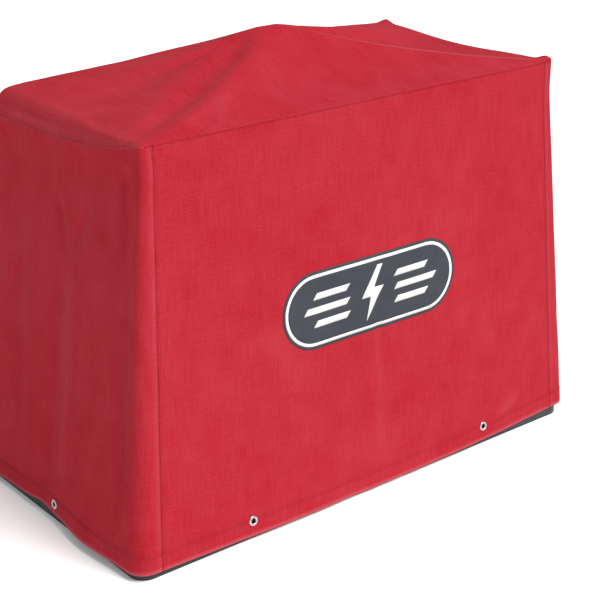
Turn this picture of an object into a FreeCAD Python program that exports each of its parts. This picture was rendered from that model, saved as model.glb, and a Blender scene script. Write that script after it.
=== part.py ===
"""Engine driven welder under its fitted canvas cover.

Row frame, millimetres: origin at the centre of the base on the floor, +X from the control end to the
engine end, +Y towards the machine's left side, +Z up.
"""
import FreeCAD
import Part

import math
import os

V = FreeCAD.Vector
EX, EY = V(1, 0, 0), V(0, 1, 0)

# ---------------------------------------------------------------- driving dimensions
SEAT = 0.3                # clearance between a piece and the seat that carries it
RUNNING = 0.05            # radial clearance of a shaft in its bore
SHEET = 2.0               # case sheet metal

BASE_LENGTH = 1073.0
BASE_WIDTH = 546.0
BASE_HEIGHT = 60.0
BASE_WALL = 4.0
BASE_CORNER = 30.0        # radius of the base's upright corners
BOLT_HOLE_R = 7.0         # bolt-down holes
BOLT_INSET_X = 31.5       # from the base's end to the bolt-down holes
BOLT_INSET_Y = 43.0
BOSS_R = 20.0

END_LEDGE = 62.5          # deck left bare outside the case, at each end
SIDE_LEDGE = 39.0         # and along each side
ROOF_TOP = 757.0
ROOF_ROLL = 40.0          # large radius of the roof's two ends
ROOF_EDGE = 8.0           # radius along the roof's sides
ROOF_SKIRT = 42.0         # height of the roof's turned-down rim
ROOF_CORNER = 12.0        # radius of its upright corners
RECESS = 40.0             # depth of the control end behind the case's rim
PANEL = 3.0               # control and output panels
FLANGE = 18.0             # turned-in flanges of the side panels
PANEL_SPLIT = 401.0       # height where the control panel meets the output panel

COVER_THICK = 1.5         # canvas, drawn double its woven thickness
COVER_HEM_Z = 12.0        # the hem hangs this far off the floor
COVER_FLARE = 8.0         # hem stands off the base by this much
COVER_RIM_RISE = 5.0      # seam between walls and top, above the roof
COVER_RIM_X = 1.9         # rim stands off the roof's rim, along X and along Y
COVER_RIM_Y = 4.2
GROMMET_R = 9.5
GROMMET_BORE = 4.8
GROMMET_WALL = 0.8
GROMMET_Z = 30.0
GROMMET_X = 295.0         # the two grommets of each long wall

SHAFT_Z = 300.0           # crankshaft height
SHAFT_R = 18.0
LIFT_X = -34.0            # lifting eye, over the centre of gravity
EYE_R = 42.0              # outer radius of the eye plate
EYE_HOLE_R = 22.0
EYE_THICK = 12.0
EYE_RISE = 99.0           # top of the eye above the roof
FRAME_TUBE = 30.0         # square tube of the lifting frame

RAIL_Y = 110.0            # cradle rails and rubber mounts
RAIL_HEIGHT = 40.0
RAIL_WIDTH = 50.0
MOUNT_HEIGHT = 30.0
MOUNT_R = 20.0
MOUNT_X = (-270.0, 100.0, 280.0)

STATOR_R = 140.0
STATOR_DEPTH = 42.0        # stator's outside to its bore
STATOR_X = (-240.0, -100.0)
AIR_GAP = 3.0
FRAME_WALL = 6.0
END_TURN = 28.0           # length of the winding's end turns

CRANKCASE_X = (70.0, 310.0)
CRANK_CAVITY_R = 64.0
BANK_ANGLE = 45.0         # each cylinder leans this far from upright
BANK_X = {1: 165.0, -1: 215.0}
DECK_AT = 105.0           # crankshaft to cylinder deck, along the bank
BARREL = 80.0
HEAD = 37.0
ROCKER_COVER = 20.0
FLYWHEEL_R = 112.0
BLOWER_R = 135.0

CARB_X = 190.0
CARB_Z = (440.0, 495.0)
CARB_HALF = 25.0

MUFFLER_X = 395.0
MUFFLER_Z = 620.0
MUFFLER_R = 48.0
MUFFLER_HALF = 165.0
OUTLET_Y = 120.0
OUTLET_R = 19.0
OUTLET_PROUD = 7.0        # exhaust stub beyond the rear panel
OUTLET_LENGTH = 24.0      # clamping length of the stub, ahead of its thicker nipple
NIPPLE_WALL = 2.0         # nipple's step over the stub

TANK_X = (-350.0, -62.0)
TANK_LOW = 478.0          # underside of the tank
TANK_ROOF_GAP = 57.0      # between the tank and the roof
TANK_SIDE_GAP = 22.0      # between the tank and the outside of the case
TANK_WALL = 3.0
FILLER_X = -250.0
FILLER_R = 24.0
CAP_R = 33.0

SOLENOID_X = 200.0        # terminal end of the starter's solenoid, and its axis (y, z)
SOLENOID_AT = (136.0, 265.0)

BATTERY_SIZE = (118.0, 190.0, 168.0)
RECTIFIER_GAP = 42.0      # output panel to the front of the rectifier's heat sink

DOOR_X = (90.0, 420.0)    # opening in the side panel
DOOR_Z = (130.0, 640.0)
DOOR_LAP = 12.0
GRILLE_HALF = 156.0       # half width of the rear panel's air opening
GRILLE_Z = (142.0, 482.0)
GRILLE_LAP = 8.0
GRILLE_BAR = 8.0
GRILLE_SLOT = 12.0
OUTLET_GAP = 6.0          # round the exhaust stub in the rear panel
LATCH_X = 108.0
LATCH_Z = 385.0
LOUVER_PITCH = 24.0
LOUVER_LENGTH = 118.0

# positions on the control end: (y, z)
OUTPUT_KNOB_AT = (-120.0, 505.0)
MODE_KNOB_AT = (0.0, 505.0)
SWITCH_AT = (95.0, 540.0)
START_AT = (150.0, 540.0)
CHOKE_AT = (150.0, 465.0)
GAUGES_AT = ((70.0, 635.0), (155.0, 635.0))
METER_AT = (-110.0, 635.0)
BREAKERS_AT = ((-175.0, 255.0), (-125.0, 255.0))
DUPLEX_AT = ((-170.0, 335.0), (-100.0, 335.0))
ROUND_SOCKETS_AT = ((20.0, 335.0, 31.0), (115.0, 335.0, 24.0))
STUDS_AT = ((50.0, 230.0), (115.0, 230.0), (180.0, 230.0))

OUTPUT_KNOB_R = 31.0
MODE_KNOB_R = 21.0
KNOB_SHAFT_R = 4.0
BUTTON_R = 8.0
COLLAR_WALL = 3.0
CHOKE_SHAFT_R = 4.0
STUD_R = 6.0
STUD_PROUD = 38.0
GAUGE_R = 27.0
METER_SIZE = (86.0, 40.0)
LID_SIZE = (132.0, 64.0)
LID_THICK = 3.0
LID_PIN_R = 2.5
LID_EAR = 4.0             # half height of the ears that hold the lid's pin

# ---------------------------------------------------------------- derived dimensions
BASE_X = BASE_LENGTH / 2
BASE_Y = BASE_WIDTH / 2
CASE_X = BASE_X - END_LEDGE
CASE_Y = BASE_Y - SIDE_LEDGE
ROOF_X = CASE_X + SEAT + SHEET
ROOF_Y = CASE_Y + SEAT + SHEET
ROOF_BOTTOM = ROOF_TOP - ROOF_SKIRT
SIDE_TOP = ROOF_TOP - SHEET - 20.0
FACE_X = -CASE_X + RECESS             # outer face of the control and output panels
HEM_X = BASE_X + COVER_FLARE
HEM_Y = BASE_Y + COVER_FLARE
RIM_X = ROOF_X + COVER_RIM_X + COVER_THICK
RIM_Y = ROOF_Y + COVER_RIM_Y + COVER_THICK
COVER_RIM_Z = ROOF_TOP + COVER_RIM_RISE
EYE_TOP = ROOF_TOP + EYE_RISE
TANK_HALF = CASE_Y - TANK_SIDE_GAP
TANK_Z = (TANK_LOW, ROOF_TOP - TANK_ROOF_GAP)
APEX_DROP = COVER_THICK + 0.1         # vertical thickness of the sloping top
APEX_Z = EYE_TOP + SEAT + APEX_DROP
APEX_HALF_X = 28.0
APEX_HALF_Y = EYE_THICK / 2 + 5.0
RAIL_TOP = BASE_HEIGHT + RAIL_HEIGHT
OUTLET_END = CASE_X + OUTLET_PROUD
FOOT_Z = RAIL_TOP + MOUNT_HEIGHT      # underside of the engine's and alternator's feet
FRAME_R = STATOR_R + FRAME_WALL
HEAD_AT = DECK_AT + BARREL
COVER_AT = HEAD_AT + HEAD
REAR_X = CASE_X - SHEET               # inner face of the rear panel
STATOR_BORE = STATOR_R - STATOR_DEPTH
RECTIFIER_X = FACE_X + PANEL + RECTIFIER_GAP


# ---------------------------------------------------------------- shape helpers
def box(x0, x1, y0, y1, z0, z1):
    """Box between two corners."""
    return Part.makeBox(x1 - x0, y1 - y0, z1 - z0, V(x0, y0, z0))


def rod(r, start, end):
    """Round bar of radius r from start to end."""
    run = V(*end) - V(*start)
    return Part.makeCylinder(r, run.Length, V(*start), run)


def tube(outer, inner, start, end):
    """Round tube from start to end."""
    return rod(outer, start, end).cut(rod(inner, start, end))


def prism(points, run):
    """Solid swept from a flat outline of points along run."""
    corners = [V(*p) for p in points]
    return Part.Face(Part.makePolygon(corners + corners[:1])).extrude(V(*run))


def fuse(shapes):
    """One solid from shapes that touch or overlap."""
    return shapes[0].multiFuse(shapes[1:]).removeSplitter()


def around(shape, count, centre=V(0, 0, SHAFT_Z), axis=EX):
    """Copies of shape spaced evenly round an axis."""
    copies = []
    for i in range(count):
        turned = shape.copy()
        turned.rotate(centre, axis, 360.0 * i / count)
        copies.append(turned)
    return copies


def upright_edges(shape):
    """The straight edges of shape that run along Z."""
    return [e for e in shape.Edges
            if abs(e.BoundBox.XLength) < 1e-6 and abs(e.BoundBox.YLength) < 1e-6]


def hull_panel(outer, inner):
    """Closed panel between two matching four-cornered faces."""
    outer, inner = [V(*p) for p in outer], [V(*p) for p in inner]
    loops = [outer, inner]
    for i in range(4):
        j = (i + 1) % 4
        loops.append([outer[i], outer[j], inner[j], inner[i]])
    faces = [Part.Face(Part.makePolygon(loop + loop[:1])) for loop in loops]
    solid = Part.Solid(Part.Shell(faces))
    if solid.Volume < 0:
        solid.reverse()
    return solid


def bent_tube(points, r):
    """Tube of radius r along straight runs joined by tangent arcs as large as the runs allow."""
    pts = [V(*p) for p in points]
    edges, start = [], pts[0]
    for before, corner, after in zip(pts, pts[1:], pts[2:]):
        a, b = before - corner, after - corner
        short = min(a.Length, b.Length)
        a.normalize()
        b.normalize()
        turn = math.pi - a.getAngle(b)
        reach = 0.45 * short
        bisector = a + b
        bisector.normalize()
        radius = reach / math.tan(turn / 2)
        mid = corner + bisector * (radius / math.cos(turn / 2) - radius)
        first, last = corner + a * reach, corner + b * reach
        edges.append(Part.LineSegment(start, first).toShape())
        edges.append(Part.Arc(first, mid, last).toShape())
        start = last
    edges.append(Part.LineSegment(start, pts[-1]).toShape())
    path = Part.Wire(edges)
    ring = Part.Wire(Part.makeCircle(r, pts[0], pts[1] - pts[0]))
    return path.makePipeShell([ring], True, True)


def on_bank(shape, side):
    """Places a shape built upright over the crankshaft on one cylinder bank."""
    placed = shape.copy()
    placed.rotate(V(0, 0, SHAFT_Z), EX, -side * BANK_ANGLE)
    return placed


def mirrored(shape):
    """The same piece for the other long side."""
    return shape.mirror(V(0, 0, 0), EY)


# ---------------------------------------------------------------- canvas cover
def cover_corners(inset):
    """Hem and rim corner rectangles of the walls, inset by a thickness."""
    hem = (HEM_X - inset, HEM_Y - inset, COVER_HEM_Z)
    rim = (RIM_X - inset, RIM_Y - inset, COVER_RIM_Z)
    return hem, rim


def cover_wall(side):
    """One tapered wall, mitred to its neighbours; side is (x, y) of its outward direction."""
    faces = []
    for inset in (0.0, COVER_THICK):
        corners = []
        for level, (hx, hy, z) in enumerate(cover_corners(inset)):
            if side[1]:
                ends = [(-hx, side[1] * hy, z), (hx, side[1] * hy, z)]
            else:
                ends = [(side[0] * hx, -hy, z), (side[0] * hx, hy, z)]
            corners += ends if level == 0 else ends[::-1]
        faces.append(corners)
    wall = hull_panel(*faces)
    for centre, out in grommet_places():
        if abs(out.x * side[0] + out.y * side[1]) > 0.5 and out.x * side[0] + out.y * side[1] > 0:
            hole_r = GROMMET_BORE + GROMMET_WALL
            wall = wall.cut(rod(hole_r, centre - out * 20, centre + out * 20))
    return wall


def grommet_places():
    """Centre on the canvas's outer face, and outward normal, of each grommet."""
    share = (GROMMET_Z - COVER_HEM_Z) / (COVER_RIM_Z - COVER_HEM_Z)
    rise = COVER_RIM_Z - COVER_HEM_Z
    places = []
    for side in (-1, 1):
        out = V(0, side * rise, HEM_Y - RIM_Y)
        out.normalize()
        y = side * (HEM_Y + (RIM_Y - HEM_Y) * share)
        places += [(V(x, y, GROMMET_Z), out) for x in (-GROMMET_X, GROMMET_X)]
        out = V(side * rise, 0, HEM_X - RIM_X)
        out.normalize()
        places.append((V(side * (HEM_X + (RIM_X - HEM_X) * share), 0, GROMMET_Z), out))
    return places


def cover_grommets():
    """Two-part eyelets clinched through the hem."""
    rings = []
    for centre, out in grommet_places():
        depth = COVER_THICK * 0.999
        barrel_end = centre - out * (depth + GROMMET_WALL)
        front = rod(GROMMET_R, centre, centre + out * GROMMET_WALL)
        back = rod(GROMMET_R, centre - out * depth, barrel_end)
        barrel = rod(GROMMET_BORE + GROMMET_WALL * 0.9, barrel_end, centre + out * GROMMET_WALL)
        bore = rod(GROMMET_BORE, centre - out * 20, centre + out * 20)
        rings.append(fuse([front, back, barrel]).cut(bore))
    return Part.makeCompound(rings)


def tent(lowered):
    """Solid under the cover's top, from the rim up to the blunt peak over the lifting eye."""
    rim = [(-RIM_X, -RIM_Y), (RIM_X, -RIM_Y), (RIM_X, RIM_Y), (-RIM_X, RIM_Y)]
    apex = [(LIFT_X - APEX_HALF_X, -APEX_HALF_Y), (LIFT_X + APEX_HALF_X, -APEX_HALF_Y),
            (LIFT_X + APEX_HALF_X, APEX_HALF_Y), (LIFT_X - APEX_HALF_X, APEX_HALF_Y)]
    low = [(x, y, COVER_RIM_Z - lowered) for x, y in rim]
    high = [(x, y, APEX_Z - lowered) for x, y in apex]
    return hull_panel(low, high)


def cover_top_panel():
    """Tent-shaped top panel, open underneath."""
    inside = tent(APEX_DROP)
    below = box(-BASE_LENGTH, BASE_LENGTH, -BASE_WIDTH, BASE_WIDTH, 0, COVER_RIM_Z)
    return tent(0.0).cut(inside).cut(below)


# ---------------------------------------------------------------- base and frame
def base_deck():
    """Inverted pan with turned-down skirts and four bolt-down bosses."""
    outer = box(-BASE_X, BASE_X, -BASE_Y, BASE_Y, 0, BASE_HEIGHT)
    outer = outer.makeFillet(BASE_CORNER, upright_edges(outer))
    ix, iy = BASE_X - BASE_WALL, BASE_Y - BASE_WALL
    inner = box(-ix, ix, -iy, iy, 0, BASE_HEIGHT - BASE_WALL)
    inner = inner.makeFillet(BASE_CORNER - BASE_WALL, upright_edges(inner))
    places = [(sx * (BASE_X - BOLT_INSET_X), sy * (BASE_Y - BOLT_INSET_Y))
              for sx in (-1, 1) for sy in (-1, 1)]
    bosses = [rod(BOSS_R, (x, y, 0), (x, y, BASE_HEIGHT - BASE_WALL)) for x, y in places]
    deck = fuse([outer.cut(inner)] + bosses)
    for x, y in places:
        deck = deck.cut(rod(BOLT_HOLE_R, (x, y, -1), (x, y, BASE_HEIGHT + 1)))
    return deck


def engine_cradle():
    """Two channel rails on the deck, tied by cross members."""
    x0, x1 = MOUNT_X[0] - 30, MOUNT_X[-1] + 60
    half, wall = RAIL_WIDTH / 2, 4.0
    pieces = []
    for side in (-1, 1):
        y = side * RAIL_Y
        rail = box(x0, x1, y - half, y + half, BASE_HEIGHT, RAIL_TOP)
        hollow = box(x0, x1, y - half + wall, y + half - wall, BASE_HEIGHT, RAIL_TOP - wall)
        pieces.append(rail.cut(hollow))
    inner = RAIL_Y - half
    for x in (MOUNT_X[0], MOUNT_X[1]):
        tie = box(x - 20, x + 20, -inner, inner, BASE_HEIGHT, RAIL_TOP - 10)
        pieces.append(tie.cut(box(x - 16, x + 16, -inner, inner, BASE_HEIGHT, RAIL_TOP - 14)))
    return fuse(pieces)


def engine_mounts():
    """Six rubber isolators between rails and feet."""
    mounts = []
    for x in MOUNT_X:
        for side in (-1, 1):
            y, mid = side * RAIL_Y, RAIL_TOP + MOUNT_HEIGHT / 2
            waist = MOUNT_R * 0.72
            half = MOUNT_HEIGHT / 2 - SEAT
            lower = Part.makeCone(MOUNT_R, waist, half, V(x, y, RAIL_TOP + SEAT))
            upper = Part.makeCone(waist, MOUNT_R, half, V(x, y, mid))
            mounts.append(lower.fuse(upper))
    return Part.makeCompound(mounts)


def lift_frame():
    """Portal of square tube that carries the lifting eye over the centre of gravity."""
    half, wall = FRAME_TUBE / 2, 3.0
    bar_top = ROOF_TOP - SHEET - 13.0
    bar_low = bar_top - FRAME_TUBE
    leg_y = CASE_Y - SHEET - FLANGE - half - 2.0
    pieces = []
    for side in (-1, 1):
        y = side * leg_y
        leg = box(LIFT_X - half, LIFT_X + half, y - half, y + half, BASE_HEIGHT, bar_low)
        hollow = box(LIFT_X - half + wall, LIFT_X + half - wall, y - half + wall, y + half - wall,
                     BASE_HEIGHT, bar_low)
        foot = box(LIFT_X - 30, LIFT_X + 30, y - half, y + half, BASE_HEIGHT, BASE_HEIGHT + 6)
        pieces += [leg.cut(hollow), foot]
    span = leg_y + half
    pieces.append(box(LIFT_X - half, LIFT_X + half, -span, span, bar_low, bar_top))
    eye_z = EYE_TOP - EYE_R
    neck = box(LIFT_X - EYE_R, LIFT_X + EYE_R, -EYE_THICK / 2, EYE_THICK / 2, bar_top, eye_z)
    eye = rod(EYE_R, (LIFT_X, -EYE_THICK / 2, eye_z), (LIFT_X, EYE_THICK / 2, eye_z))
    hole = rod(EYE_HOLE_R, (LIFT_X, -EYE_THICK, eye_z), (LIFT_X, EYE_THICK, eye_z))
    return fuse(pieces + [neck, eye]).cut(hole)


# ---------------------------------------------------------------- case
def roof_body(grow):
    """Closed block with the roof's outline: rolled at both ends, eased along the sides."""
    x, y, top, roll = ROOF_X - grow, ROOF_Y - grow, ROOF_TOP - grow, ROOF_ROLL - grow
    block = box(-x, x, -y, y, ROOF_BOTTOM, top)
    plan = block.makeFillet(ROOF_CORNER - grow, upright_edges(block))
    ends = [e for e in block.Edges
            if e.BoundBox.YLength > 1 and abs(e.BoundBox.ZMin - top) < 1e-6
            and e.BoundBox.XLength < 1e-6]
    block = block.makeFillet(roll, ends)
    sides = [e for e in block.Edges
             if abs(abs(e.BoundBox.YMin) - y) < 1e-6 and e.BoundBox.YLength < 1e-6
             and e.BoundBox.ZMax > ROOF_BOTTOM + 1 and e.BoundBox.ZMin > ROOF_BOTTOM - 1e-6
             and not (e.BoundBox.XLength < 1e-6)]
    sides = [e for e in sides if e.BoundBox.ZMax > ROOF_BOTTOM + SHEET]
    return block.makeFillet(max(ROOF_EDGE - grow, 1.0), sides).common(plan)


def under_roof():
    """Room that the case's panels may fill: everything below the rim, and the roof's inside."""
    low = box(-BASE_X, BASE_X, -BASE_Y, BASE_Y, 0, ROOF_BOTTOM)
    return low.fuse(roof_body(SHEET + SEAT))


def roof_panel():
    """Pressed roof with a slot for the lifting eye and a hole for the filler."""
    roof = roof_body(0.0).cut(roof_body(SHEET))
    slot_x, slot_y = EYE_R + 3.0, EYE_THICK / 2 + 3.0
    roof = roof.cut(box(LIFT_X - slot_x, LIFT_X + slot_x, -slot_y, slot_y, ROOF_BOTTOM, ROOF_TOP + 1))
    hole_r = FILLER_R + TANK_WALL + 2.0
    return roof.cut(rod(hole_r, (FILLER_X, 0, ROOF_BOTTOM), (FILLER_X, 0, ROOF_TOP + 1)))


def louver(x, z, face_y):
    """Hood and slot of one louver on the plane y = face_y, facing -Y."""
    reach, top, low, skin = 7.0, z + 9.0, z - 3.0, 1.3
    x0, x1 = x - LOUVER_LENGTH / 2, x + LOUVER_LENGTH / 2
    hood = prism([(x0, face_y, top), (x0, face_y - reach, low), (x0, face_y, low)], (x1 - x0, 0, 0))
    inside = prism([(x0 + skin, face_y + 0.5, top - 2.4), (x0 + skin, face_y - reach + 1.5, low - 0.5),
                    (x0 + skin, face_y + 0.5, low - 0.5)], (x1 - x0 - 2 * skin, 0, 0))
    slot = box(x0 + skin, x1 - skin, face_y - 0.5, face_y + SHEET + 0.5, low, top - 3.0)
    return hood.cut(inside), slot


def with_louvers(plate, places, face_y):
    """Plate with a louver at each (x, z)."""
    hoods, slots = zip(*[louver(x, z, face_y) for x, z in places])
    return fuse([plate.cut(Part.makeCompound(slots))] + list(hoods))


def side_panel():
    """Right side panel (-Y) with flanges, door opening and a bank of louvers."""
    out, low = -CASE_Y, BASE_HEIGHT
    inn = out + SHEET
    plate = box(-CASE_X, CASE_X, out, inn, low, SIDE_TOP)
    face = FACE_X + PANEL
    flanges = [
        box(face, face + SHEET, inn, inn + FLANGE, low, SIDE_TOP),
        box(REAR_X - SHEET, REAR_X, inn, inn + FLANGE, low, SIDE_TOP),
        box(face, REAR_X, inn, inn + FLANGE, low, low + SHEET),
        box(face, REAR_X, inn, inn + FLANGE, SIDE_TOP - SHEET, SIDE_TOP),
    ]
    panel = fuse([plate] + flanges)
    panel = panel.cut(box(DOOR_X[0], DOOR_X[1], out - 1, inn + 1, DOOR_Z[0], DOOR_Z[1]))
    bank = [(x, 215.0 + LOUVER_PITCH * i) for x in (-235.0, -95.0) for i in range(8)]
    return with_louvers(panel, bank, out).common(under_roof())


def service_door():
    """Right service door with stiffening returns, louvers and a hole for its latch."""
    out = -(CASE_Y + SEAT + SHEET)
    inn = out + SHEET
    x0, x1 = DOOR_X[0] - DOOR_LAP, DOOR_X[1] + DOOR_LAP
    z0, z1 = DOOR_Z[0] - DOOR_LAP, DOOR_Z[1] + DOOR_LAP
    plate = box(x0, x1, out, inn, z0, z1)
    clear, deep = 2.0, 10.0
    a0, a1, b0, b1 = DOOR_X[0] + clear, DOOR_X[1] - clear, DOOR_Z[0] + clear, DOOR_Z[1] - clear
    rim = box(a0, a1, inn, inn + deep, b0, b1)
    rim = rim.cut(box(a0 + SHEET, a1 - SHEET, inn, inn + deep, b0 + SHEET, b1 - SHEET))
    rim = rim.cut(box(a0, a0 + SHEET, inn, inn + deep, LATCH_Z - 27, LATCH_Z + 27))
    door = fuse([plate, rim])
    door = door.cut(rod(6.0 + RUNNING, (LATCH_X, out - 1, LATCH_Z), (LATCH_X, inn + 1, LATCH_Z)))
    middle = (DOOR_X[0] + DOOR_X[1]) / 2
    columns = (middle - LOUVER_LENGTH * 0.6, middle + LOUVER_LENGTH * 0.6)
    bank = [(x, DOOR_Z[1] - 40.0 - LOUVER_PITCH * i) for x in columns for i in range(8)]
    return with_louvers(door, bank, out)


def door_hinges():
    """Two lift-off hinges for each door: leaf on the case, knuckle and pin."""
    r = 4.5
    y = -(CASE_Y + SEAT + r)
    x = DOOR_X[1] + DOOR_LAP + 6.0
    hinges = []
    for z in (DOOR_Z[0] + 70.0, DOOR_Z[1] - 70.0):
        knuckle = rod(r, (x, y, z - 22), (x, y, z + 22))
        leaf = box(x, x + 20, -CASE_Y - 2.0, -CASE_Y, z - 20, z + 20)
        face = -(CASE_Y + SEAT + SHEET)
        strap = box(x - 24, x, face - 2.0, face, z - 20, z + 20)
        hinges.append(fuse([knuckle, leaf, strap]))
    hinges += [mirrored(h) for h in hinges]
    return Part.makeCompound(hinges)


def door_latch():
    """Quarter-turn latch of the right door: handle, spindle and cam."""
    out = -(CASE_Y + SEAT + SHEET)
    rose = rod(18.0, (LATCH_X, out - SEAT, LATCH_Z), (LATCH_X, out - 4, LATCH_Z))
    grip = box(LATCH_X - 4, LATCH_X + 4, out - 13, out - 4, LATCH_Z - 16, LATCH_Z + 16)
    grip = grip.makeFillet(3.0, upright_edges(grip))
    cam_y = -CASE_Y + SHEET + 1.0
    spindle = rod(6.0, (LATCH_X, out - 4, LATCH_Z), (LATCH_X, cam_y + 3, LATCH_Z))
    cam = box(DOOR_X[0] - 8, LATCH_X + 6, cam_y, cam_y + 3, LATCH_Z - 6, LATCH_Z + 6)
    return fuse([rose, grip, spindle, cam])


def rear_panel():
    """Engine end panel with an air opening and a hole for the exhaust stub."""
    y = CASE_Y - SHEET - SEAT
    panel = box(REAR_X, CASE_X, -y, y, BASE_HEIGHT + SHEET, ROOF_BOTTOM - SEAT)
    panel = panel.cut(box(REAR_X - 1, CASE_X + 1, -GRILLE_HALF, GRILLE_HALF, *GRILLE_Z))
    hole = rod(OUTLET_R + OUTLET_GAP, (REAR_X - 1, OUTLET_Y, MUFFLER_Z), (CASE_X + 1, OUTLET_Y, MUFFLER_Z))
    return panel.cut(hole)


def rear_grille():
    """Slotted plate that backs the rear panel's air opening."""
    half, outer = GRILLE_HALF + GRILLE_LAP, REAR_X - SEAT
    low, high = GRILLE_Z
    plate = box(outer - SHEET, outer, -half, half, low - GRILLE_LAP, high + GRILLE_LAP)
    slot_half = GRILLE_HALF / 3 - GRILLE_BAR
    slots = []
    for column in (-1, 0, 1):
        y = column * GRILLE_HALF * 2 / 3
        z = low + GRILLE_BAR
        while z + GRILLE_SLOT < high:
            slots.append(box(outer - SHEET - 1, outer + 1, y - slot_half, y + slot_half, z, z + GRILLE_SLOT))
            z += 2 * GRILLE_SLOT
    return plate.cut(Part.makeCompound(slots))


# ---------------------------------------------------------------- control end
def through(r, y, z):
    """Round cutter through the control end's panels."""
    return rod(r, (FACE_X - 5, y, z), (FACE_X + PANEL + 5, y, z))


def front_plate(z0, z1):
    """Blank panel of the control end between two heights."""
    y = CASE_Y - SHEET - SEAT
    return box(FACE_X, FACE_X + PANEL, -y, y, z0, z1)


def control_panel():
    """Upper panel: knobs, switches, gauges and meter pass through it."""
    panel = front_plate(PANEL_SPLIT + 1.0, SIDE_TOP - 22.0)
    cuts = [through(KNOB_SHAFT_R + RUNNING, *OUTPUT_KNOB_AT), through(KNOB_SHAFT_R + RUNNING, *MODE_KNOB_AT),
            through(BUTTON_R + COLLAR_WALL, *SWITCH_AT), through(BUTTON_R + COLLAR_WALL, *START_AT),
            through(BUTTON_R + COLLAR_WALL, *CHOKE_AT)]
    cuts += [through(GAUGE_R - 3.0, *at) for at in GAUGES_AT]
    hy, hz = METER_SIZE[0] / 2 - 4.0, METER_SIZE[1] / 2 - 4.0
    cuts.append(box(FACE_X - 1, FACE_X + PANEL + 1, METER_AT[0] - hy, METER_AT[0] + hy,
                    METER_AT[1] - hz, METER_AT[1] + hz))
    return panel.cut(Part.makeCompound(cuts))


def output_panel():
    """Lower panel: sockets, breakers and weld output studs pass through it."""
    panel = front_plate(BASE_HEIGHT + SHEET, PANEL_SPLIT - 1.0)
    cuts = [through(BUTTON_R + COLLAR_WALL, *at) for at in BREAKERS_AT]
    cuts += [through(r - 4.0, y, z) for y, z, r in ROUND_SOCKETS_AT]
    cuts += [box(FACE_X - 1, FACE_X + PANEL + 1, y - 17, y + 17, z - 22, z + 22) for y, z in DUPLEX_AT]
    cuts += [through(STUD_R + 4.0, *at) for at in STUDS_AT]
    return panel.cut(Part.makeCompound(cuts))


def gauges():
    """Fuel gauge, hour meter and digital ammeter, each a bezel on the panel with a body behind."""
    pieces = []
    for y, z in GAUGES_AT:
        bezel = tube(GAUGE_R, GAUGE_R - 4.5, (FACE_X - 7, y, z), (FACE_X - 3, y, z))
        flange = rod(GAUGE_R, (FACE_X - 3, y, z), (FACE_X, y, z))
        body = rod(GAUGE_R - 3.5, (FACE_X, y, z), (FACE_X + 34, y, z))
        pieces.append(fuse([bezel, flange, body]))
    y, z = METER_AT
    hy, hz = METER_SIZE[0] / 2, METER_SIZE[1] / 2
    bezel = box(FACE_X - 6, FACE_X, y - hy, y + hy, z - hz, z + hz)
    bezel = bezel.cut(box(FACE_X - 6, FACE_X - 3, y - hy + 6, y + hy - 6, z - hz + 6, z + hz - 6))
    body = box(FACE_X, FACE_X + 30, y - hy + 5, y + hy - 5, z - hz + 5, z + hz - 5)
    pieces.append(fuse([bezel, body]))
    return Part.makeCompound(pieces)


def panel_collars():
    """Threaded collars of the switch, start button, choke cable and breakers."""
    collars = []
    for y, z in (SWITCH_AT, START_AT, CHOKE_AT) + BREAKERS_AT:
        r = CHOKE_SHAFT_R + RUNNING if (y, z) == CHOKE_AT else BUTTON_R + RUNNING
        nut = prism([(FACE_X - 4, y + 15 * math.cos(math.radians(a)), z + 15 * math.sin(math.radians(a)))
                     for a in range(0, 360, 60)], (4, 0, 0))
        body = rod(BUTTON_R + COLLAR_WALL - SEAT, (FACE_X - 4, y, z), (FACE_X + 16, y, z))
        collars.append(fuse([nut, body]).cut(rod(r, (FACE_X - 9, y, z), (FACE_X + 20, y, z))))
    return Part.makeCompound(collars)


def receptacles():
    """Two duplex sockets, a round power socket and the remote control connector."""
    pieces = []
    for y, z in DUPLEX_AT:
        face = box(FACE_X - 2, FACE_X + 24, y - 16.7, y + 16.7, z - 21.7, z + 21.7)
        for dz in (-10.5, 10.5):
            for dy in (-6.0, 6.0):
                face = face.cut(box(FACE_X - 3, FACE_X + 10, y + dy - 1.1, y + dy + 1.1,
                                    z + dz - 3.5, z + dz + 3.5))
            face = face.cut(rod(2.3, (FACE_X - 3, y, z + dz - 6.2), (FACE_X + 10, y, z + dz - 6.2)))
        pieces.append(face)
    for y, z, r in ROUND_SOCKETS_AT:
        flange = rod(r, (FACE_X - 5, y, z), (FACE_X, y, z))
        body = rod(r - 4.3, (FACE_X, y, z), (FACE_X + 30, y, z))
        socket = fuse([flange, body]).cut(rod(r - 8.0, (FACE_X - 6, y, z), (FACE_X + 12, y, z)))
        core = rod(r - 12.0, (FACE_X - 3, y, z), (FACE_X + 12, y, z))
        count = 4 if r > 28 else 7
        pin = rod(1.6, (FACE_X - 4, y + (r - 16.0), z), (FACE_X + 8, y + (r - 16.0), z))
        pins = around(pin, count, V(FACE_X, y, z), EX)
        pieces.append(fuse([socket, core]).cut(Part.makeCompound(pins)))
    return Part.makeCompound(pieces)


def lid_hinge():
    """Axis of the socket lid's hinge: (x, z)."""
    z = DUPLEX_AT[0][1] + LID_SIZE[1] / 2 + LID_PIN_R + 2.0
    return FACE_X - LID_PIN_R - 2.5, z


def lid_centre_y():
    """Middle of the two duplex sockets."""
    return (DUPLEX_AT[0][0] + DUPLEX_AT[1][0]) / 2


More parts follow.
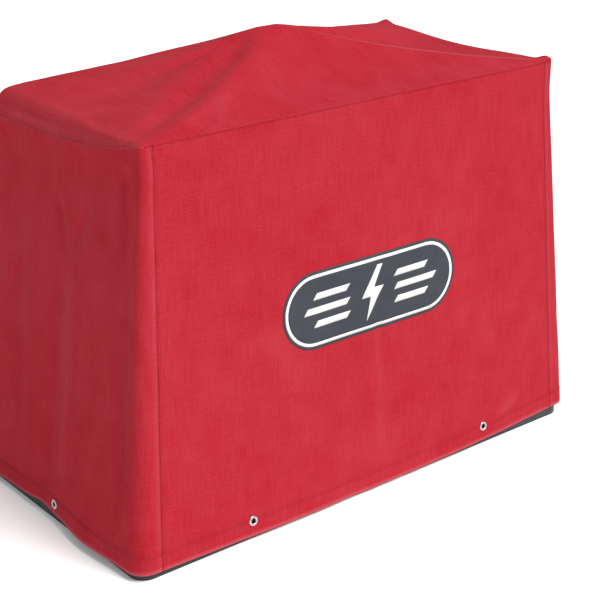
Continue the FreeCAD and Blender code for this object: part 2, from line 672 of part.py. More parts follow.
def receptacle_lid():
    """Spring lid over the duplex sockets, hung on a round pin along its top edge."""
    hx, hz = lid_hinge()
    y, half = lid_centre_y(), LID_SIZE[0] / 2
    bottom = hz - LID_SIZE[1] - LID_PIN_R
    x_in = FACE_X - 2.0 - SEAT
    top = hz - LID_EAR * 1.6       # swings clear of the ears' corners
    plate = box(x_in - LID_THICK, x_in, y - half, y + half, bottom, top)
    edge = box(x_in - LID_THICK - 5, x_in - LID_THICK, y - 24, y + 24, bottom, bottom + 4)
    hub = tube(LID_PIN_R + 2.0, LID_PIN_R + RUNNING, (hx, y - 40, hz), (hx, y + 40, hz))
    tongue = box(x_in - LID_THICK, x_in, y - 40, y + 40, top, hz - LID_PIN_R - 0.5)
    return fuse([plate, edge, tongue, hub])


def lid_hinge_pin():
    """Pin and two ears that carry the socket lid."""
    hx, hz = lid_hinge()
    y = lid_centre_y()
    pin = rod(LID_PIN_R, (hx, y - 52, hz), (hx, y + 52, hz))
    ears = [box(hx - LID_EAR, FACE_X, y + s * 46 - 4, y + s * 46 + 4, hz - LID_EAR, hz + LID_EAR)
            for s in (-1, 1)]
    return fuse([pin] + ears)


def output_studs():
    """Weld output studs, each with its insulating washers and nut."""
    pieces = []
    for y, z in STUDS_AT:
        stud = rod(STUD_R, (FACE_X - STUD_PROUD, y, z), (FACE_X + 40, y, z))
        washer = rod(21.0, (FACE_X - 6, y, z), (FACE_X, y, z))
        neck = rod(STUD_R + 3.5, (FACE_X, y, z), (FACE_X + PANEL, y, z))
        back = rod(21.0, (FACE_X + PANEL, y, z), (FACE_X + PANEL + 6, y, z))
        nut = prism([(FACE_X - 16, y + 11 * math.cos(math.radians(a)), z + 11 * math.sin(math.radians(a)))
                     for a in range(0, 360, 60)], (10, 0, 0))
        pieces.append(fuse([stud, washer, neck, back, nut]))
    return Part.makeCompound(pieces)


def output_knob():
    """Large current control knob with grip flutes and a pointer."""
    y, z = OUTPUT_KNOB_AT
    back = FACE_X - SEAT
    skirt = rod(OUTPUT_KNOB_R, (back - 4, y, z), (back, y, z))
    grip = rod(OUTPUT_KNOB_R - 7, (back - 22, y, z), (back - 4, y, z))
    flute = rod(3.2, (back - 30, y, z + OUTPUT_KNOB_R - 5.5), (back - 4, y, z + OUTPUT_KNOB_R - 5.5))
    grip = grip.cut(Part.makeCompound(around(flute, 14, V(0, y, z), EX)[1:]))
    pointer = box(back - 23, back - 22, y - 1.2, y + 1.2, z + 4, z + OUTPUT_KNOB_R - 8)
    shaft = rod(KNOB_SHAFT_R, (back - 4, y, z), (FACE_X + PANEL + 16, y, z))
    return fuse([skirt, grip, pointer, shaft])


def mode_knob():
    """Pointer knob of the process selector."""
    y, z = MODE_KNOB_AT
    back = FACE_X - SEAT
    skirt = rod(MODE_KNOB_R, (back - 4, y, z), (back, y, z))
    bar = box(back - 18, back - 4, y - 5, y + 5, z - MODE_KNOB_R + 3, z + MODE_KNOB_R - 1)
    shaft = rod(KNOB_SHAFT_R, (back - 4, y, z), (FACE_X + PANEL + 16, y, z))
    return fuse([skirt, bar, shaft])


def run_stop_switch():
    """Bat lever of the run and stop switch, pivoting inside its collar."""
    y, z = SWITCH_AT
    pivot_x = FACE_X + 4.0
    ball = Part.makeSphere(BUTTON_R - SEAT, V(pivot_x, y, z))
    bat = Part.makeCone(2.2, 4.0, 24.0, V(pivot_x, y, z), V(-1, 0, 0))
    tip = Part.makeSphere(4.0, V(pivot_x - 24.0, y, z))
    lever = fuse([ball, bat, tip])
    lever.rotate(V(pivot_x, y, z), EY, 10.0)
    return lever


def push_button(at, proud, r=BUTTON_R):
    """Round push button that slides in its collar."""
    y, z = at
    button = rod(r, (FACE_X - 4 - proud, y, z), (FACE_X + 6, y, z))
    return button.makeChamfer(1.0, [e for e in button.Edges
                                    if abs(e.BoundBox.XMax - (FACE_X - 4 - proud)) < 1e-6])


def choke_knob():
    """Pull knob on the end of the choke cable's rod."""
    y, z = CHOKE_AT
    shaft = rod(CHOKE_SHAFT_R, (FACE_X - 14, y, z), (FACE_X + 40, y, z))
    stem = rod(7.0, (FACE_X - 12, y, z), (FACE_X - 4 - SEAT, y, z))
    head = rod(13.0, (FACE_X - 22, y, z), (FACE_X - 12, y, z))
    head = head.makeFillet(2.5, head.Edges[0:1])
    return fuse([shaft, stem, head])


# ---------------------------------------------------------------- alternator
def shaft_at(x, y=0.0, z=0.0):
    """Point on the crankshaft's axis, with an offset."""
    return (x, y, SHAFT_Z + z)


def stator_core():
    """Slotted lamination stack."""
    core = tube(STATOR_R, STATOR_BORE, shaft_at(STATOR_X[0]), shaft_at(STATOR_X[1]))
    slot = box(STATOR_X[0] - 1, STATOR_X[1] + 1, -3.5, 3.5,
               SHAFT_Z + STATOR_BORE - 4, SHAFT_Z + STATOR_BORE + 20)
    return core.cut(Part.makeCompound(around(slot, 24)))


def stator_windings():
    """End turns of the stator winding, one ring at each face of the core."""
    rings = []
    for x, out in ((STATOR_X[0], -1), (STATOR_X[1], 1)):
        end = x + out * END_TURN
        ring = tube(STATOR_BORE + 26, STATOR_BORE + 3, shaft_at(x), shaft_at(end))
        lobe = rod(5.0, shaft_at(x, 0, STATOR_BORE + 26), shaft_at(end, 0, STATOR_BORE + 26))
        rings.append(fuse([ring] + around(lobe, 24)))
    return Part.makeCompound(rings)


def rotor():
    """Four-pole wound rotor on the shaft."""
    x0, x1 = STATOR_X[0] + 2, STATOR_X[1] - 2
    r = STATOR_BORE - AIR_GAP
    hub = rod(44.0, shaft_at(x0), shaft_at(x1))
    pole = box(x0, x1, -24, 24, SHAFT_Z + 30, SHAFT_Z + r + 1)
    shoe = box(x0, x1, -46, 46, SHAFT_Z + r - 16, SHAFT_Z + r + 1)
    coil = box(x0 - 14, x1 + 14, -34, 34, SHAFT_Z + 46, SHAFT_Z + r - 18)
    body = fuse([hub] + around(fuse([pole, shoe, coil]), 4))
    body = body.common(rod(r, shaft_at(x0 - 20), shaft_at(x1 + 20)))
    return body.cut(rod(SHAFT_R + RUNNING, shaft_at(x0 - 30), shaft_at(x1 + 30)))


def alternator_fan():
    """Radial fan between the windings and the engine."""
    x0 = STATOR_X[1] + END_TURN + 6
    disc = rod(94.0, shaft_at(x0), shaft_at(x0 + 3))
    hub = rod(32.0, shaft_at(x0), shaft_at(x0 + 22))
    blade = box(x0 + 2, x0 + 20, -1.5, 1.5, SHAFT_Z + 30, SHAFT_Z + 92)
    fan = fuse([disc, hub] + around(blade, 12))
    return fan.cut(rod(SHAFT_R + RUNNING, shaft_at(x0 - 1), shaft_at(x0 + 30)))


def windows(x0, x1, r, count, width):
    """Cutters for vents round a housing of radius r."""
    cutter = box(x0, x1, -width / 2, width / 2, SHAFT_Z + r - 30, SHAFT_Z + r + 30)
    first = around(cutter, 2 * count)[1]
    return Part.makeCompound(around(first, count))


def end_bracket():
    """Outboard bearing bracket of the alternator, with its two feet."""
    x1 = STATOR_X[0]
    x0 = x1 - END_TURN - 32
    bore = STATOR_R + SEAT
    wall = tube(FRAME_R, bore, shaft_at(x0), shaft_at(x1 + 12))
    spider = rod(FRAME_R, shaft_at(x0), shaft_at(x0 + 12))
    arm_gap = tube(STATOR_R - 14, 52.0, shaft_at(x0 - 1), shaft_at(x0 + 13))
    arms = [box(x0, x0 + 12, -14, 14, SHAFT_Z + 40, SHAFT_Z + STATOR_R - 10)]
    spider = fuse([spider.cut(arm_gap)] + around(arms[0], 4))
    hub = rod(46.0, shaft_at(x0), shaft_at(x0 + 26))
    body = fuse([wall, spider, hub]).cut(windows(x0 + 18, x1 - 4, FRAME_R, 8, 62.0))
    feet = []
    x = MOUNT_X[0]
    for side in (-1, 1):
        y = side * RAIL_Y
        feet.append(box(x - 22, x + 22, y - 24, y + 24, FOOT_Z, FOOT_Z + 12))
        drop = math.sqrt(FRAME_R ** 2 - (RAIL_Y - 12) ** 2)
        feet.append(box(x - 14, x + 14, min(y, y - side * 24), max(y, y - side * 24),
                        FOOT_Z + 12, SHAFT_Z - drop + 14))
    body = fuse([body] + feet)
    body = body.cut(rod(bore, shaft_at(x0 + 12), shaft_at(x1 + 12)).cut(
        rod(46.0, shaft_at(x0 + 12), shaft_at(x0 + 26))))
    return body.cut(rod(SHAFT_R + RUNNING, shaft_at(x0 - 1), shaft_at(x1)))


def bell_housing():
    """Adapter between the stator and the crankcase, vented round the fan."""
    x0, x1 = STATOR_X[1] - 12, CRANKCASE_X[0]
    waist = x1 - 60
    big = tube(FRAME_R, STATOR_R + SEAT, shaft_at(x0), shaft_at(waist - 40))
    r1 = 96.0
    cone = Part.makeCone(FRAME_R, r1, 40.0, V(*shaft_at(waist - 40)), EX)
    cone = cone.cut(Part.makeCone(STATOR_R, r1 - FRAME_WALL, 40.0, V(*shaft_at(waist - 40)), EX))
    neck = tube(r1, r1 - FRAME_WALL, shaft_at(waist), shaft_at(x1))
    flange = tube(r1 + 8, r1 - 30, shaft_at(x1 - 10), shaft_at(x1))
    body = fuse([big, cone, neck, flange])
    return body.cut(windows(STATOR_X[1] + END_TURN, waist - 44, FRAME_R, 8, 62.0))


# ---------------------------------------------------------------- engine
def crankshaft():
    """One-throw crankshaft that also carries the rotor, the fan and the flywheel."""
    webs = (140.0, 225.0)
    web, throw, pin_r = 15.0, 34.0, 19.0
    left = rod(SHAFT_R, shaft_at(STATOR_X[0] - END_TURN - 40), shaft_at(webs[0]))
    right = rod(SHAFT_R, shaft_at(webs[1] + web), shaft_at(CRANKCASE_X[1] + 52))
    pieces = [left, right, rod(pin_r, shaft_at(webs[0], 0, throw), shaft_at(webs[1] + web, 0, throw))]
    for x in webs:
        cheek = rod(56.0, shaft_at(x), shaft_at(x + web))
        relief = box(x - 1, x + web + 1, 26, 60, SHAFT_Z + 5, SHAFT_Z + 60)
        pieces.append(cheek.cut(relief).cut(relief.mirror(V(0, 0, 0), EY)))
    return fuse(pieces)


def crankcase():
    """Aluminium crankcase with two cylinder decks, feet, and the crank's cavity."""
    x0, x1 = CRANKCASE_X
    lean = math.radians(BANK_ANGLE)
    out = (math.sin(lean), math.cos(lean))
    across = (math.cos(lean), -math.sin(lean))
    half, low = 55.0, FOOT_Z + 20
    outer = (DECK_AT * out[0] + half * across[0], SHAFT_Z + DECK_AT * out[1] + half * across[1])
    inner = (DECK_AT * out[0] - half * across[0], SHAFT_Z + DECK_AT * out[1] - half * across[1])
    right = [(90.0, low), (90.0, SHAFT_Z - 10), outer, inner]
    outline = right + [(0.0, inner[1] - 16)] + [(-y, z) for y, z in right[::-1]]
    block = prism([(x0, y, z) for y, z in outline], (x1 - x0, 0, 0))
    feet = [box(x - 22, x + 22, -RAIL_Y - 24, RAIL_Y + 24, FOOT_Z, low) for x in MOUNT_X[1:]]
    block = fuse([block] + feet)
    block = block.cut(rod(CRANK_CAVITY_R, shaft_at(x0 + 18), shaft_at(x1 - 18)))
    for side, x in BANK_X.items():
        bore = rod(37.0, (x, 0, SHAFT_Z), (x, 0, SHAFT_Z + DECK_AT + 5))
        block = block.cut(on_bank(bore, side))
    return block.cut(rod(SHAFT_R + RUNNING, shaft_at(x0 - 1), shaft_at(x1 + 1)))


def cylinders():
    """Two finned barrels."""
    barrels = []
    for side, x in BANK_X.items():
        z0 = SHAFT_Z + DECK_AT
        liner = rod(47.0, (x, 0, z0), (x, 0, z0 + BARREL))
        fins = [box(x - 56, x + 56, -54, 54, z, z + 3) for z in [z0 + 5 + 9.4 * i for i in range(8)]]
        barrel = fuse([liner] + fins).cut(rod(36.0, (x, 0, z0 - 1), (x, 0, z0 + BARREL + 1)))
        barrels.append(on_bank(barrel, side))
    return Part.makeCompound(barrels)


def cylinder_heads():
    """Two finned heads, and a pressed rocker cover on each."""
    pieces = []
    for side, x in BANK_X.items():
        z0, z1 = SHAFT_Z + HEAD_AT, SHAFT_Z + COVER_AT
        head = box(x - 58, x + 58, -54, 54, z0, z1)
        grooves = []
        for i in range(3):
            z = z0 + 8 + 9.5 * i
            ring = box(x - 60, x + 60, -56, 56, z, z + 5)
            grooves.append(ring.cut(box(x - 46, x + 46, -42, 42, z, z + 5)))
        head = head.cut(Part.makeCompound(grooves))
        cover = box(x - 46, x + 46, -34, 34, z1, z1 + ROCKER_COVER)
        cover = cover.makeFillet(9.0, upright_edges(cover))
        pieces += [on_bank(head, side), on_bank(cover, side)]
    return Part.makeCompound(pieces)


def blower_housing():
    """Shroud round the flywheel, open in front of the intake and towards the cylinders."""
    x0 = CRANKCASE_X[1]
    x1 = x0 + 62
    wall = 3.0
    shell = rod(BLOWER_R, shaft_at(x0), shaft_at(x1))
    shell = shell.cut(rod(BLOWER_R - wall, shaft_at(x0 + wall), shaft_at(x1 - wall)))
    intake = rod(72.0, shaft_at(x1 - 5), shaft_at(x1 + 5))
    bars = [box(x1 - wall, x1, -2.5, 2.5, SHAFT_Z - 74, SHAFT_Z + 74)]
    shell = shell.cut(intake)
    shell = fuse([shell] + around(bars[0], 3))
    shell = shell.cut(rod(SHAFT_R + 14, shaft_at(x0 - 1), shaft_at(x0 + 5)))
    outlet = box(x0 - 1, x0 + wall + 1, -30, 30, SHAFT_Z + 98, SHAFT_Z + 126)
    for angle in (-BANK_ANGLE, BANK_ANGLE):
        turned = outlet.copy()
        turned.rotate(V(0, 0, SHAFT_Z), EX, angle)
        shell = shell.cut(turned)
    return shell


def flywheel():
    """Flywheel with cast cooling fins."""
    x0 = CRANKCASE_X[1] + 12
    disc = rod(FLYWHEEL_R, shaft_at(x0), shaft_at(x0 + 12))
    hub = rod(30.0, shaft_at(x0 - 6), shaft_at(x0 + 36))
    fin = box(x0 + 11, x0 + 32, -2, 2, SHAFT_Z + 52, SHAFT_Z + FLYWHEEL_R - 3)
    wheel = fuse([disc, hub] + around(fin, 16))
    return wheel.cut(rod(SHAFT_R + RUNNING, shaft_at(x0 - 10), shaft_at(x0 + 50)))


def carburetor():
    """Carburettor with float bowl, and the manifold runners to both heads."""
    z0, z1 = CARB_Z
    body = box(CARB_X - 28, CARB_X + 28, -CARB_HALF, CARB_HALF, z0, z1)
    bowl = rod(20.0, (CARB_X, 0, z0 - 22), (CARB_X, 0, z0))
    runners = []
    for side, x in BANK_X.items():
        port = on_bank(rod(13.0, (x, -side * 54, SHAFT_Z + HEAD_AT + 18),
                           (x, -side * 84, SHAFT_Z + HEAD_AT + 18)), side)
        end = port.CenterOfMass
        runners += [port, rod(13.0, (CARB_X, 0, z0 + 22), (end.x, end.y, end.z)),
                    Part.makeSphere(13.0, end)]
    whole = fuse([body, bowl] + runners)
    whole = whole.cut(rod(15.0, (CARB_X, 0, z0 + 12), (CARB_X, 0, z1 + 1)))
    x, z = choke_pivot()
    pivot = rod(3.0 + RUNNING, (x, -CARB_HALF - 1, z), (x, -CARB_HALF + 8, z))
    return whole.cut(cylinder_heads()).cut(pivot)


def choke_pivot():
    """Axis of the choke spindle: (x, z)."""
    return CARB_X - 15, CARB_Z[1] - 14


def choke_lever():
    """Lever on the choke spindle, on the carburettor's right side."""
    x, z = choke_pivot()
    y = -CARB_HALF - SEAT
    spindle = rod(3.0, (x, y - 5, z), (x, y + 7, z))
    hub = rod(7.0, (x, y - 4, z), (x, y, z))
    arm = box(x - 4, x + 4, y - 4, y - 1.5, z, z + 22)
    return fuse([spindle, hub, arm])


def air_cleaner():
    """Round air cleaner on top of the carburettor, with its wing nut."""
    z = CARB_Z[1]
    snout = tube(22.0, 15.0, (CARB_X, 0, z), (CARB_X, 0, z + 26))
    can = rod(80.0, (CARB_X, 0, z + 26), (CARB_X, 0, z + 84))
    rims = [e for e in can.Edges if e.BoundBox.XLength > 100]
    can = can.makeFillet(6.0, rims)
    wing = box(CARB_X - 16, CARB_X + 16, -2, 2, z + 86, z + 96)
    nut = rod(6.0, (CARB_X, 0, z + 84), (CARB_X, 0, z + 94))
    return fuse([snout, can, wing, nut])


def exhaust_run(side, x, r):
    """Bar of radius r along the pipe from one head's port down into the muffler."""
    head = on_bank(box(x + 58, x + 59, -1, 1, SHAFT_Z + HEAD_AT + 18, SHAFT_Z + HEAD_AT + 19), side)
    port = head.CenterOfMass
    start = (x + 58, port.y, port.z)
    reach = MUFFLER_X - start[0]
    entry_y = port.y * 0.93
    points = [start, (start[0] + 0.45 * reach, port.y, port.z),
              (MUFFLER_X, entry_y, port.z + 40), (MUFFLER_X, entry_y, MUFFLER_Z - 20)]
    return bent_tube(points, r)


def muffler():
    """Hollow muffler across the engine end, with a pipe from each head and the outlet stub."""
    wall = 2.0
    ends = [(MUFFLER_X, -MUFFLER_HALF, MUFFLER_Z), (MUFFLER_X, MUFFLER_HALF, MUFFLER_Z)]
    can = rod(MUFFLER_R, *ends)
    can = can.makeFillet(10.0, [e for e in can.Edges if e.BoundBox.XLength > 20])
    lap = tube(MUFFLER_R + 3, MUFFLER_R - 1, (MUFFLER_X, -6, MUFFLER_Z), (MUFFLER_X, 6, MUFFLER_Z))
    inlet = (MUFFLER_X + MUFFLER_R - 6, OUTLET_Y, MUFFLER_Z)
    shoulder = (OUTLET_END - OUTLET_LENGTH, OUTLET_Y, MUFFLER_Z)
    nipple = rod(OUTLET_R + NIPPLE_WALL, inlet, shoulder)
    stub = rod(OUTLET_R, inlet, (OUTLET_END, OUTLET_Y, MUFFLER_Z))
    pipes = [exhaust_run(side, x, 15.0) for side, x in BANK_X.items()]
    bores = [exhaust_run(side, x, 15.0 - wall) for side, x in BANK_X.items()]
    hollow = rod(MUFFLER_R - wall, (MUFFLER_X, -MUFFLER_HALF + 4, MUFFLER_Z),
                 (MUFFLER_X, MUFFLER_HALF - 4, MUFFLER_Z))
    hollow = hollow.makeFillet(8.0, [e for e in hollow.Edges if e.BoundBox.XLength > 20])
    mouth = rod(OUTLET_R - wall, (MUFFLER_X, OUTLET_Y, MUFFLER_Z), (CASE_X + 50, OUTLET_Y, MUFFLER_Z))
    whole = fuse([can, lap, nipple, stub] + pipes)
    return whole.cut(Part.makeCompound([hollow, mouth])).cut(bores[0]).cut(bores[1])


def oil_filter():
    """Spin-on oil filter on the crankcase's right side."""
    y0, z, x = -90.0, 215.0, 200.0
    can = rod(38.0, (x, y0 - 88, z), (x, y0 - 8, z))
    can = can.makeFillet(8.0, [e for e in can.Edges if abs(e.BoundBox.YMax - (y0 - 88)) < 1e-6])
    return fuse([can, rod(30.0, (x, y0 - 8, z), (x, y0, z))])


def starter_motor():
    """Starter motor with its solenoid, flanged to the blower's back plate."""
    x1, y, z = CRANKCASE_X[1], SOLENOID_AT[0] - 8, SOLENOID_AT[1] - 50
    body = rod(34.0, (x1 - 130, y, z), (x1 - 10, y, z))
    nose = rod(22.0, (x1 - 10, y, z), (x1, y, z))
    solenoid = rod(18.0, (SOLENOID_X, *SOLENOID_AT), (x1 - 40, *SOLENOID_AT))
    saddle = box(x1 - 100, x1 - 50, y - 6, y + 18, z + 20, z + 40)
    link = box(x1 - 90, x1 - 60, 90.0, y - 20, z - 8, z + 8)
    return fuse([body, nose, solenoid, saddle, link])


# ---------------------------------------------------------------- fuel, battery, power parts
def fuel_tank():
    """Steel tank under the roof with a filler neck; it hangs from the side panels' top flanges."""
    x0, x1, half = TANK_X[0], TANK_X[1], TANK_HALF
    outer = box(x0, x1, -half, half, *TANK_Z)
    outer = outer.makeFillet(22.0, upright_edges(outer))
    w = TANK_WALL
    inner = box(x0 + w, x1 - w, -half + w, half - w, TANK_Z[0] + w, TANK_Z[1] - w)
    inner = inner.makeFillet(22.0 - w, upright_edges(inner))
    neck_top = ROOF_TOP + 6
    neck = rod(FILLER_R + w, (FILLER_X, 0, TANK_Z[1] - w), (FILLER_X, 0, neck_top))
    bore = rod(FILLER_R, (FILLER_X, 0, TANK_Z[1] - w - 1), (FILLER_X, 0, neck_top + 1))
    ears = []
    top, deep = SIDE_TOP - SHEET, CASE_Y - SHEET
    for side in (-1, 1):
        for x in (x0 + 60, x1 - 60):
            web = box(x - 15, x + 15, min(side * (half - 30), side * (half - 26)),
                      max(side * (half - 30), side * (half - 26)), TANK_Z[1], top)
            lug = box(x - 15, x + 15, min(side * (half - 30), side * (deep - 1)),
                      max(side * (half - 30), side * (deep - 1)), top - 4, top)
            ears += [web, lug]
    spout = rod(6.0, (x1, 60, TANK_Z[0] + 14), (x1 + 18, 60, TANK_Z[0] + 14))
    return fuse([outer.cut(inner), neck, spout] + ears).cut(bore)


def fuel_cap():
    """Quarter-turn filler cap with a finger bar."""
    z = ROOF_TOP + 6 + SEAT
    skirt = tube(CAP_R, FILLER_R + TANK_WALL + 1.0, (FILLER_X, 0, ROOF_TOP + SEAT), (FILLER_X, 0, z))
    top = rod(CAP_R, (FILLER_X, 0, z), (FILLER_X, 0, z + 5))
    bar = box(FILLER_X - CAP_R + 4, FILLER_X + CAP_R - 4, -4, 4, z + 5, z + 15)
    plug = rod(FILLER_R - 1.0, (FILLER_X, 0, z - 12), (FILLER_X, 0, z))
    return fuse([skirt, top, bar, plug])


def battery_box():
    """Corners of the battery, standing on the deck behind the output panel."""
    x0 = FACE_X + PANEL + 10
    return (x0, x0 + BATTERY_SIZE[0], -CASE_Y + 42, -CASE_Y + 42 + BATTERY_SIZE[1],
            BASE_HEIGHT, BASE_HEIGHT + BATTERY_SIZE[2])


def battery():
    """Starting battery: case, lid and two posts."""
    x0, x1, y0, y1, z0, z1 = battery_box()
    case = box(x0, x1, y0, y1, z0, z1 - 22)
    case = case.makeFillet(6.0, upright_edges(case))
    lid = box(x0 - 3, x1 + 3, y0 - 3, y1 + 3, z1 - 22, z1)
    lid = lid.makeFillet(6.0, upright_edges(lid))
    posts = [Part.makeCone(9.0, 8.0, 16.0, V(x1 - 26, y, z1)) for y in (y0 + 28, y1 - 28)]
    return fuse([case, lid] + posts)


def reactor():
    """Weld choke: laminated core with a wound coil, on the deck."""
    x0 = FACE_X + PANEL + 16
    y0, y1 = 40.0, 190.0
    core = box(x0 + 12, x0 + 92, y0, y1, BASE_HEIGHT, BASE_HEIGHT + 116)
    window = box(x0 + 11, x0 + 93, y0 + 26, y1 - 26, BASE_HEIGHT + 26, BASE_HEIGHT + 90)
    coil = box(x0, x0 + 104, y0 + 30, y1 - 30, BASE_HEIGHT + 30, BASE_HEIGHT + 86)
    coil = coil.makeFillet(12.0, upright_edges(coil))
    web = box(x0 + 12, x0 + 92, y0 + 60, y1 - 60, BASE_HEIGHT + 20, BASE_HEIGHT + 96)
    return fuse([core.cut(window), coil, web])


def rectifier():
    """Output rectifier on a finned heat sink, carried by a bracket from the reactor's core."""
    x0 = RECTIFIER_X
    y0, y1, z0 = 44.0, 186.0, BASE_HEIGHT + 132
    plate = box(x0, x0 + 8, y0, y1, z0, z0 + 96)
    fins = [box(x0 + 8, x0 + 44, y, y + 2.5, z0, z0 + 96)
            for y in [y0 + 7.0 * i for i in range(int((y1 - y0) / 7.0))]]
    leg = box(x0, x0 + 8, y0 + 8, y1 - 8, BASE_HEIGHT + 116, z0)
    return fuse([plate, leg] + fins)


def panel_screws():
    """Pan head screws round the case panels."""
    heads = []
    for side in (-1, 1):
        for x in (-CASE_X + 30, -CASE_X / 3, CASE_X / 3, CASE_X - 30):
            y = side * ROOF_Y
            heads.append(rod(6.0, (x, y, ROOF_BOTTOM + 10), (x, y + side * 2.2, ROOF_BOTTOM + 10)))
            y = side * CASE_Y
            heads.append(rod(6.0, (x, y, BASE_HEIGHT + 18), (x, y + side * 3, BASE_HEIGHT + 18)))
        y = side * (CASE_Y - SHEET - FLANGE / 2)
        for z in (PANEL_SPLIT + 20, PANEL_SPLIT + 160, SIDE_TOP - 40, PANEL_SPLIT - 20, 240.0, 90.0):
            heads.append(rod(5.0, (FACE_X - 2.5, y, z), (FACE_X, y, z)))
        for z in (120.0, 400.0, 700.0):
            heads.append(rod(6.0, (CASE_X, y, z), (CASE_X + 3, y, z)))
    return Part.makeCompound(heads)


# ---------------------------------------------------------------- nodes
NODES = {
    "cover_front_wall": lambda: cover_wall((0, -1)),
    "cover_back_wall": lambda: cover_wall((0, 1)),
    "cover_left_end": lambda: cover_wall((-1, 0)),
    "cover_right_end": lambda: cover_wall((1, 0)),
    "cover_top_panel": cover_top_panel,
    "cover_grommets": cover_grommets,
    "base_deck": base_deck,
    "engine_cradle": engine_cradle,
    "engine_mounts": engine_mounts,
    "lift_frame": lift_frame,
    "roof_panel": roof_panel,
    "side_panel_right": side_panel,
    "side_panel_left": lambda: mirrored(side_panel()),
    "service_door_right": service_door,
    "service_door_left": lambda: mirrored(service_door()),
    "door_hinges": door_hinges,
    "door_latch_right": door_latch,
    "door_latch_left": lambda: mirrored(door_latch()),
    "rear_panel": rear_panel,
    "rear_grille": rear_grille,
    "control_panel": control_panel,
    "output_panel": output_panel,
    "gauges": gauges,
    "panel_collars": panel_collars,
    "receptacles": receptacles,
    "receptacle_lid": receptacle_lid,
    "lid_hinge_pin": lid_hinge_pin,
    "output_studs": output_studs,
    "output_knob": output_knob,
    "mode_knob": mode_knob,
    "run_stop_switch": run_stop_switch,
    "start_button": lambda: push_button(START_AT, 6.0),
    "breaker_button_1": lambda: push_button(BREAKERS_AT[0], 6.0),
    "breaker_button_2": lambda: push_button(BREAKERS_AT[1], 6.0),
    "choke_knob": choke_knob,
    "choke_lever": choke_lever,
    "stator_core": stator_core,
    "stator_windings": stator_windings,
    "rotor": rotor,
    "alternator_fan": alternator_fan,
    "end_bracket": end_bracket,
    "bell_housing": bell_housing,
    "crankshaft": crankshaft,
    "crankcase": crankcase,
    "cylinders": cylinders,
    "cylinder_heads": cylinder_heads,
    "blower_housing": blower_housing,
    "flywheel": flywheel,
    "carburetor": carburetor,
    "air_cleaner": air_cleaner,
    "muffler": muffler,
    "oil_filter": oil_filter,
    "starter_motor": starter_motor,
    "fuel_tank": fuel_tank,
    "fuel_cap": fuel_cap,
    "battery": battery,
    "reactor": reactor,
    "rectifier": rectifier,
    "panel_screws": panel_screws,
}

os.makedirs("parts", exist_ok=True)
for name, build in NODES.items():
    shape = build()
    for solid in shape.Solids:
        if not solid.isValid() or solid.Volume <= 0:
            print("bad solid in", name)
    shape.exportStep("parts/" + name + ".step")
    print(f"{name:20s} {len(shape.Solids):3d} solids {shape.Volume / 1e3:10.1f} cm3")
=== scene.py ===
"""An engine driven welder standing under its fitted red canvas cover."""
import logging
import math
from dataclasses import dataclass, field
from enum import Enum
from typing import Callable, Iterable

import bmesh
import bpy
import numpy as np
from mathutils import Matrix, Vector, geometry, noise


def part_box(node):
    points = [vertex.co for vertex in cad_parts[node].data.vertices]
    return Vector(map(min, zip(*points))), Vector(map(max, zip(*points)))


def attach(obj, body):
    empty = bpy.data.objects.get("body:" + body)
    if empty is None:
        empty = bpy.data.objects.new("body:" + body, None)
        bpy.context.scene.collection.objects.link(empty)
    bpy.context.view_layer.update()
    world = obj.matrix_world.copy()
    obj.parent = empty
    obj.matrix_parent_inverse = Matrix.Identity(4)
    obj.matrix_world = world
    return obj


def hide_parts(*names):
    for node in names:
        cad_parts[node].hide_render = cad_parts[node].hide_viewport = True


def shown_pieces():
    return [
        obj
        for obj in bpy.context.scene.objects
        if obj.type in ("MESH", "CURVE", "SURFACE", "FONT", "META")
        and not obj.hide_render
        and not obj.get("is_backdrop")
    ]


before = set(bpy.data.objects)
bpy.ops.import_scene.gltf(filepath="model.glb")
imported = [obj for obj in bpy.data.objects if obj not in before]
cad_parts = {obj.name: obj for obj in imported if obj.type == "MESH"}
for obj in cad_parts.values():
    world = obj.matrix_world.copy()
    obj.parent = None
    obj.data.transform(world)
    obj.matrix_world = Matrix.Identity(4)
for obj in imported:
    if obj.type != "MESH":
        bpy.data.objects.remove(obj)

log = logging.getLogger("welder")
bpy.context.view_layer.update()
COVER = "canvas_cover"
MACHINE = "machine"
Colour = tuple[float, float, float]
MM = 0.001
WELD = 1e-7


# ------------------------------------------------------------------ small tools
def smooth(low: float, high: float, value: float) -> float:
    """Returns 0 below low, 1 above high, and a smooth step between."""
    t = min(1.0, max(0.0, (value - low) / (high - low)))
    return t * t * (3.0 - 2.0 * t)


def mix(a: float, b: float, share: float) -> float:
    """Returns the value that lies the given share of the way from a to b."""
    return a + (b - a) * share


def hump(away: float, width: float) -> float:
    """Returns 1 where away is 0, falling smoothly to nothing a few widths off."""
    return math.exp(-((away / width) ** 2))


def soft_max(a: float, b: float, width: float) -> float:
    """Returns the larger of two heights, rounded over width where they cross."""
    return 0.5 * (a + b + math.sqrt((a - b) ** 2 + width * width))


def wave(x: float, y: float, z: float, size: float, seed: float = 0.0) -> float:
    """Returns smooth noise from about -1 to 1.

    Args:
        x, y, z: The place, in metres.
        size: The length of one bump, in metres.
        seed: Picks another pattern.
    """
    return noise.noise(Vector((x / size + seed, y / size - seed, z / size + 2.0 * seed)))


def link_new(name: str, data: bpy.types.ID) -> bpy.types.Object:
    """Makes an object of the data, at the origin, and links it to the scene.

    Args:
        name: Name of the object.
        data: The mesh, light or camera it shows.

    Returns:
        The new object.
    """
    obj = bpy.data.objects.new(name, data)
    bpy.context.scene.collection.objects.link(obj)
    return obj


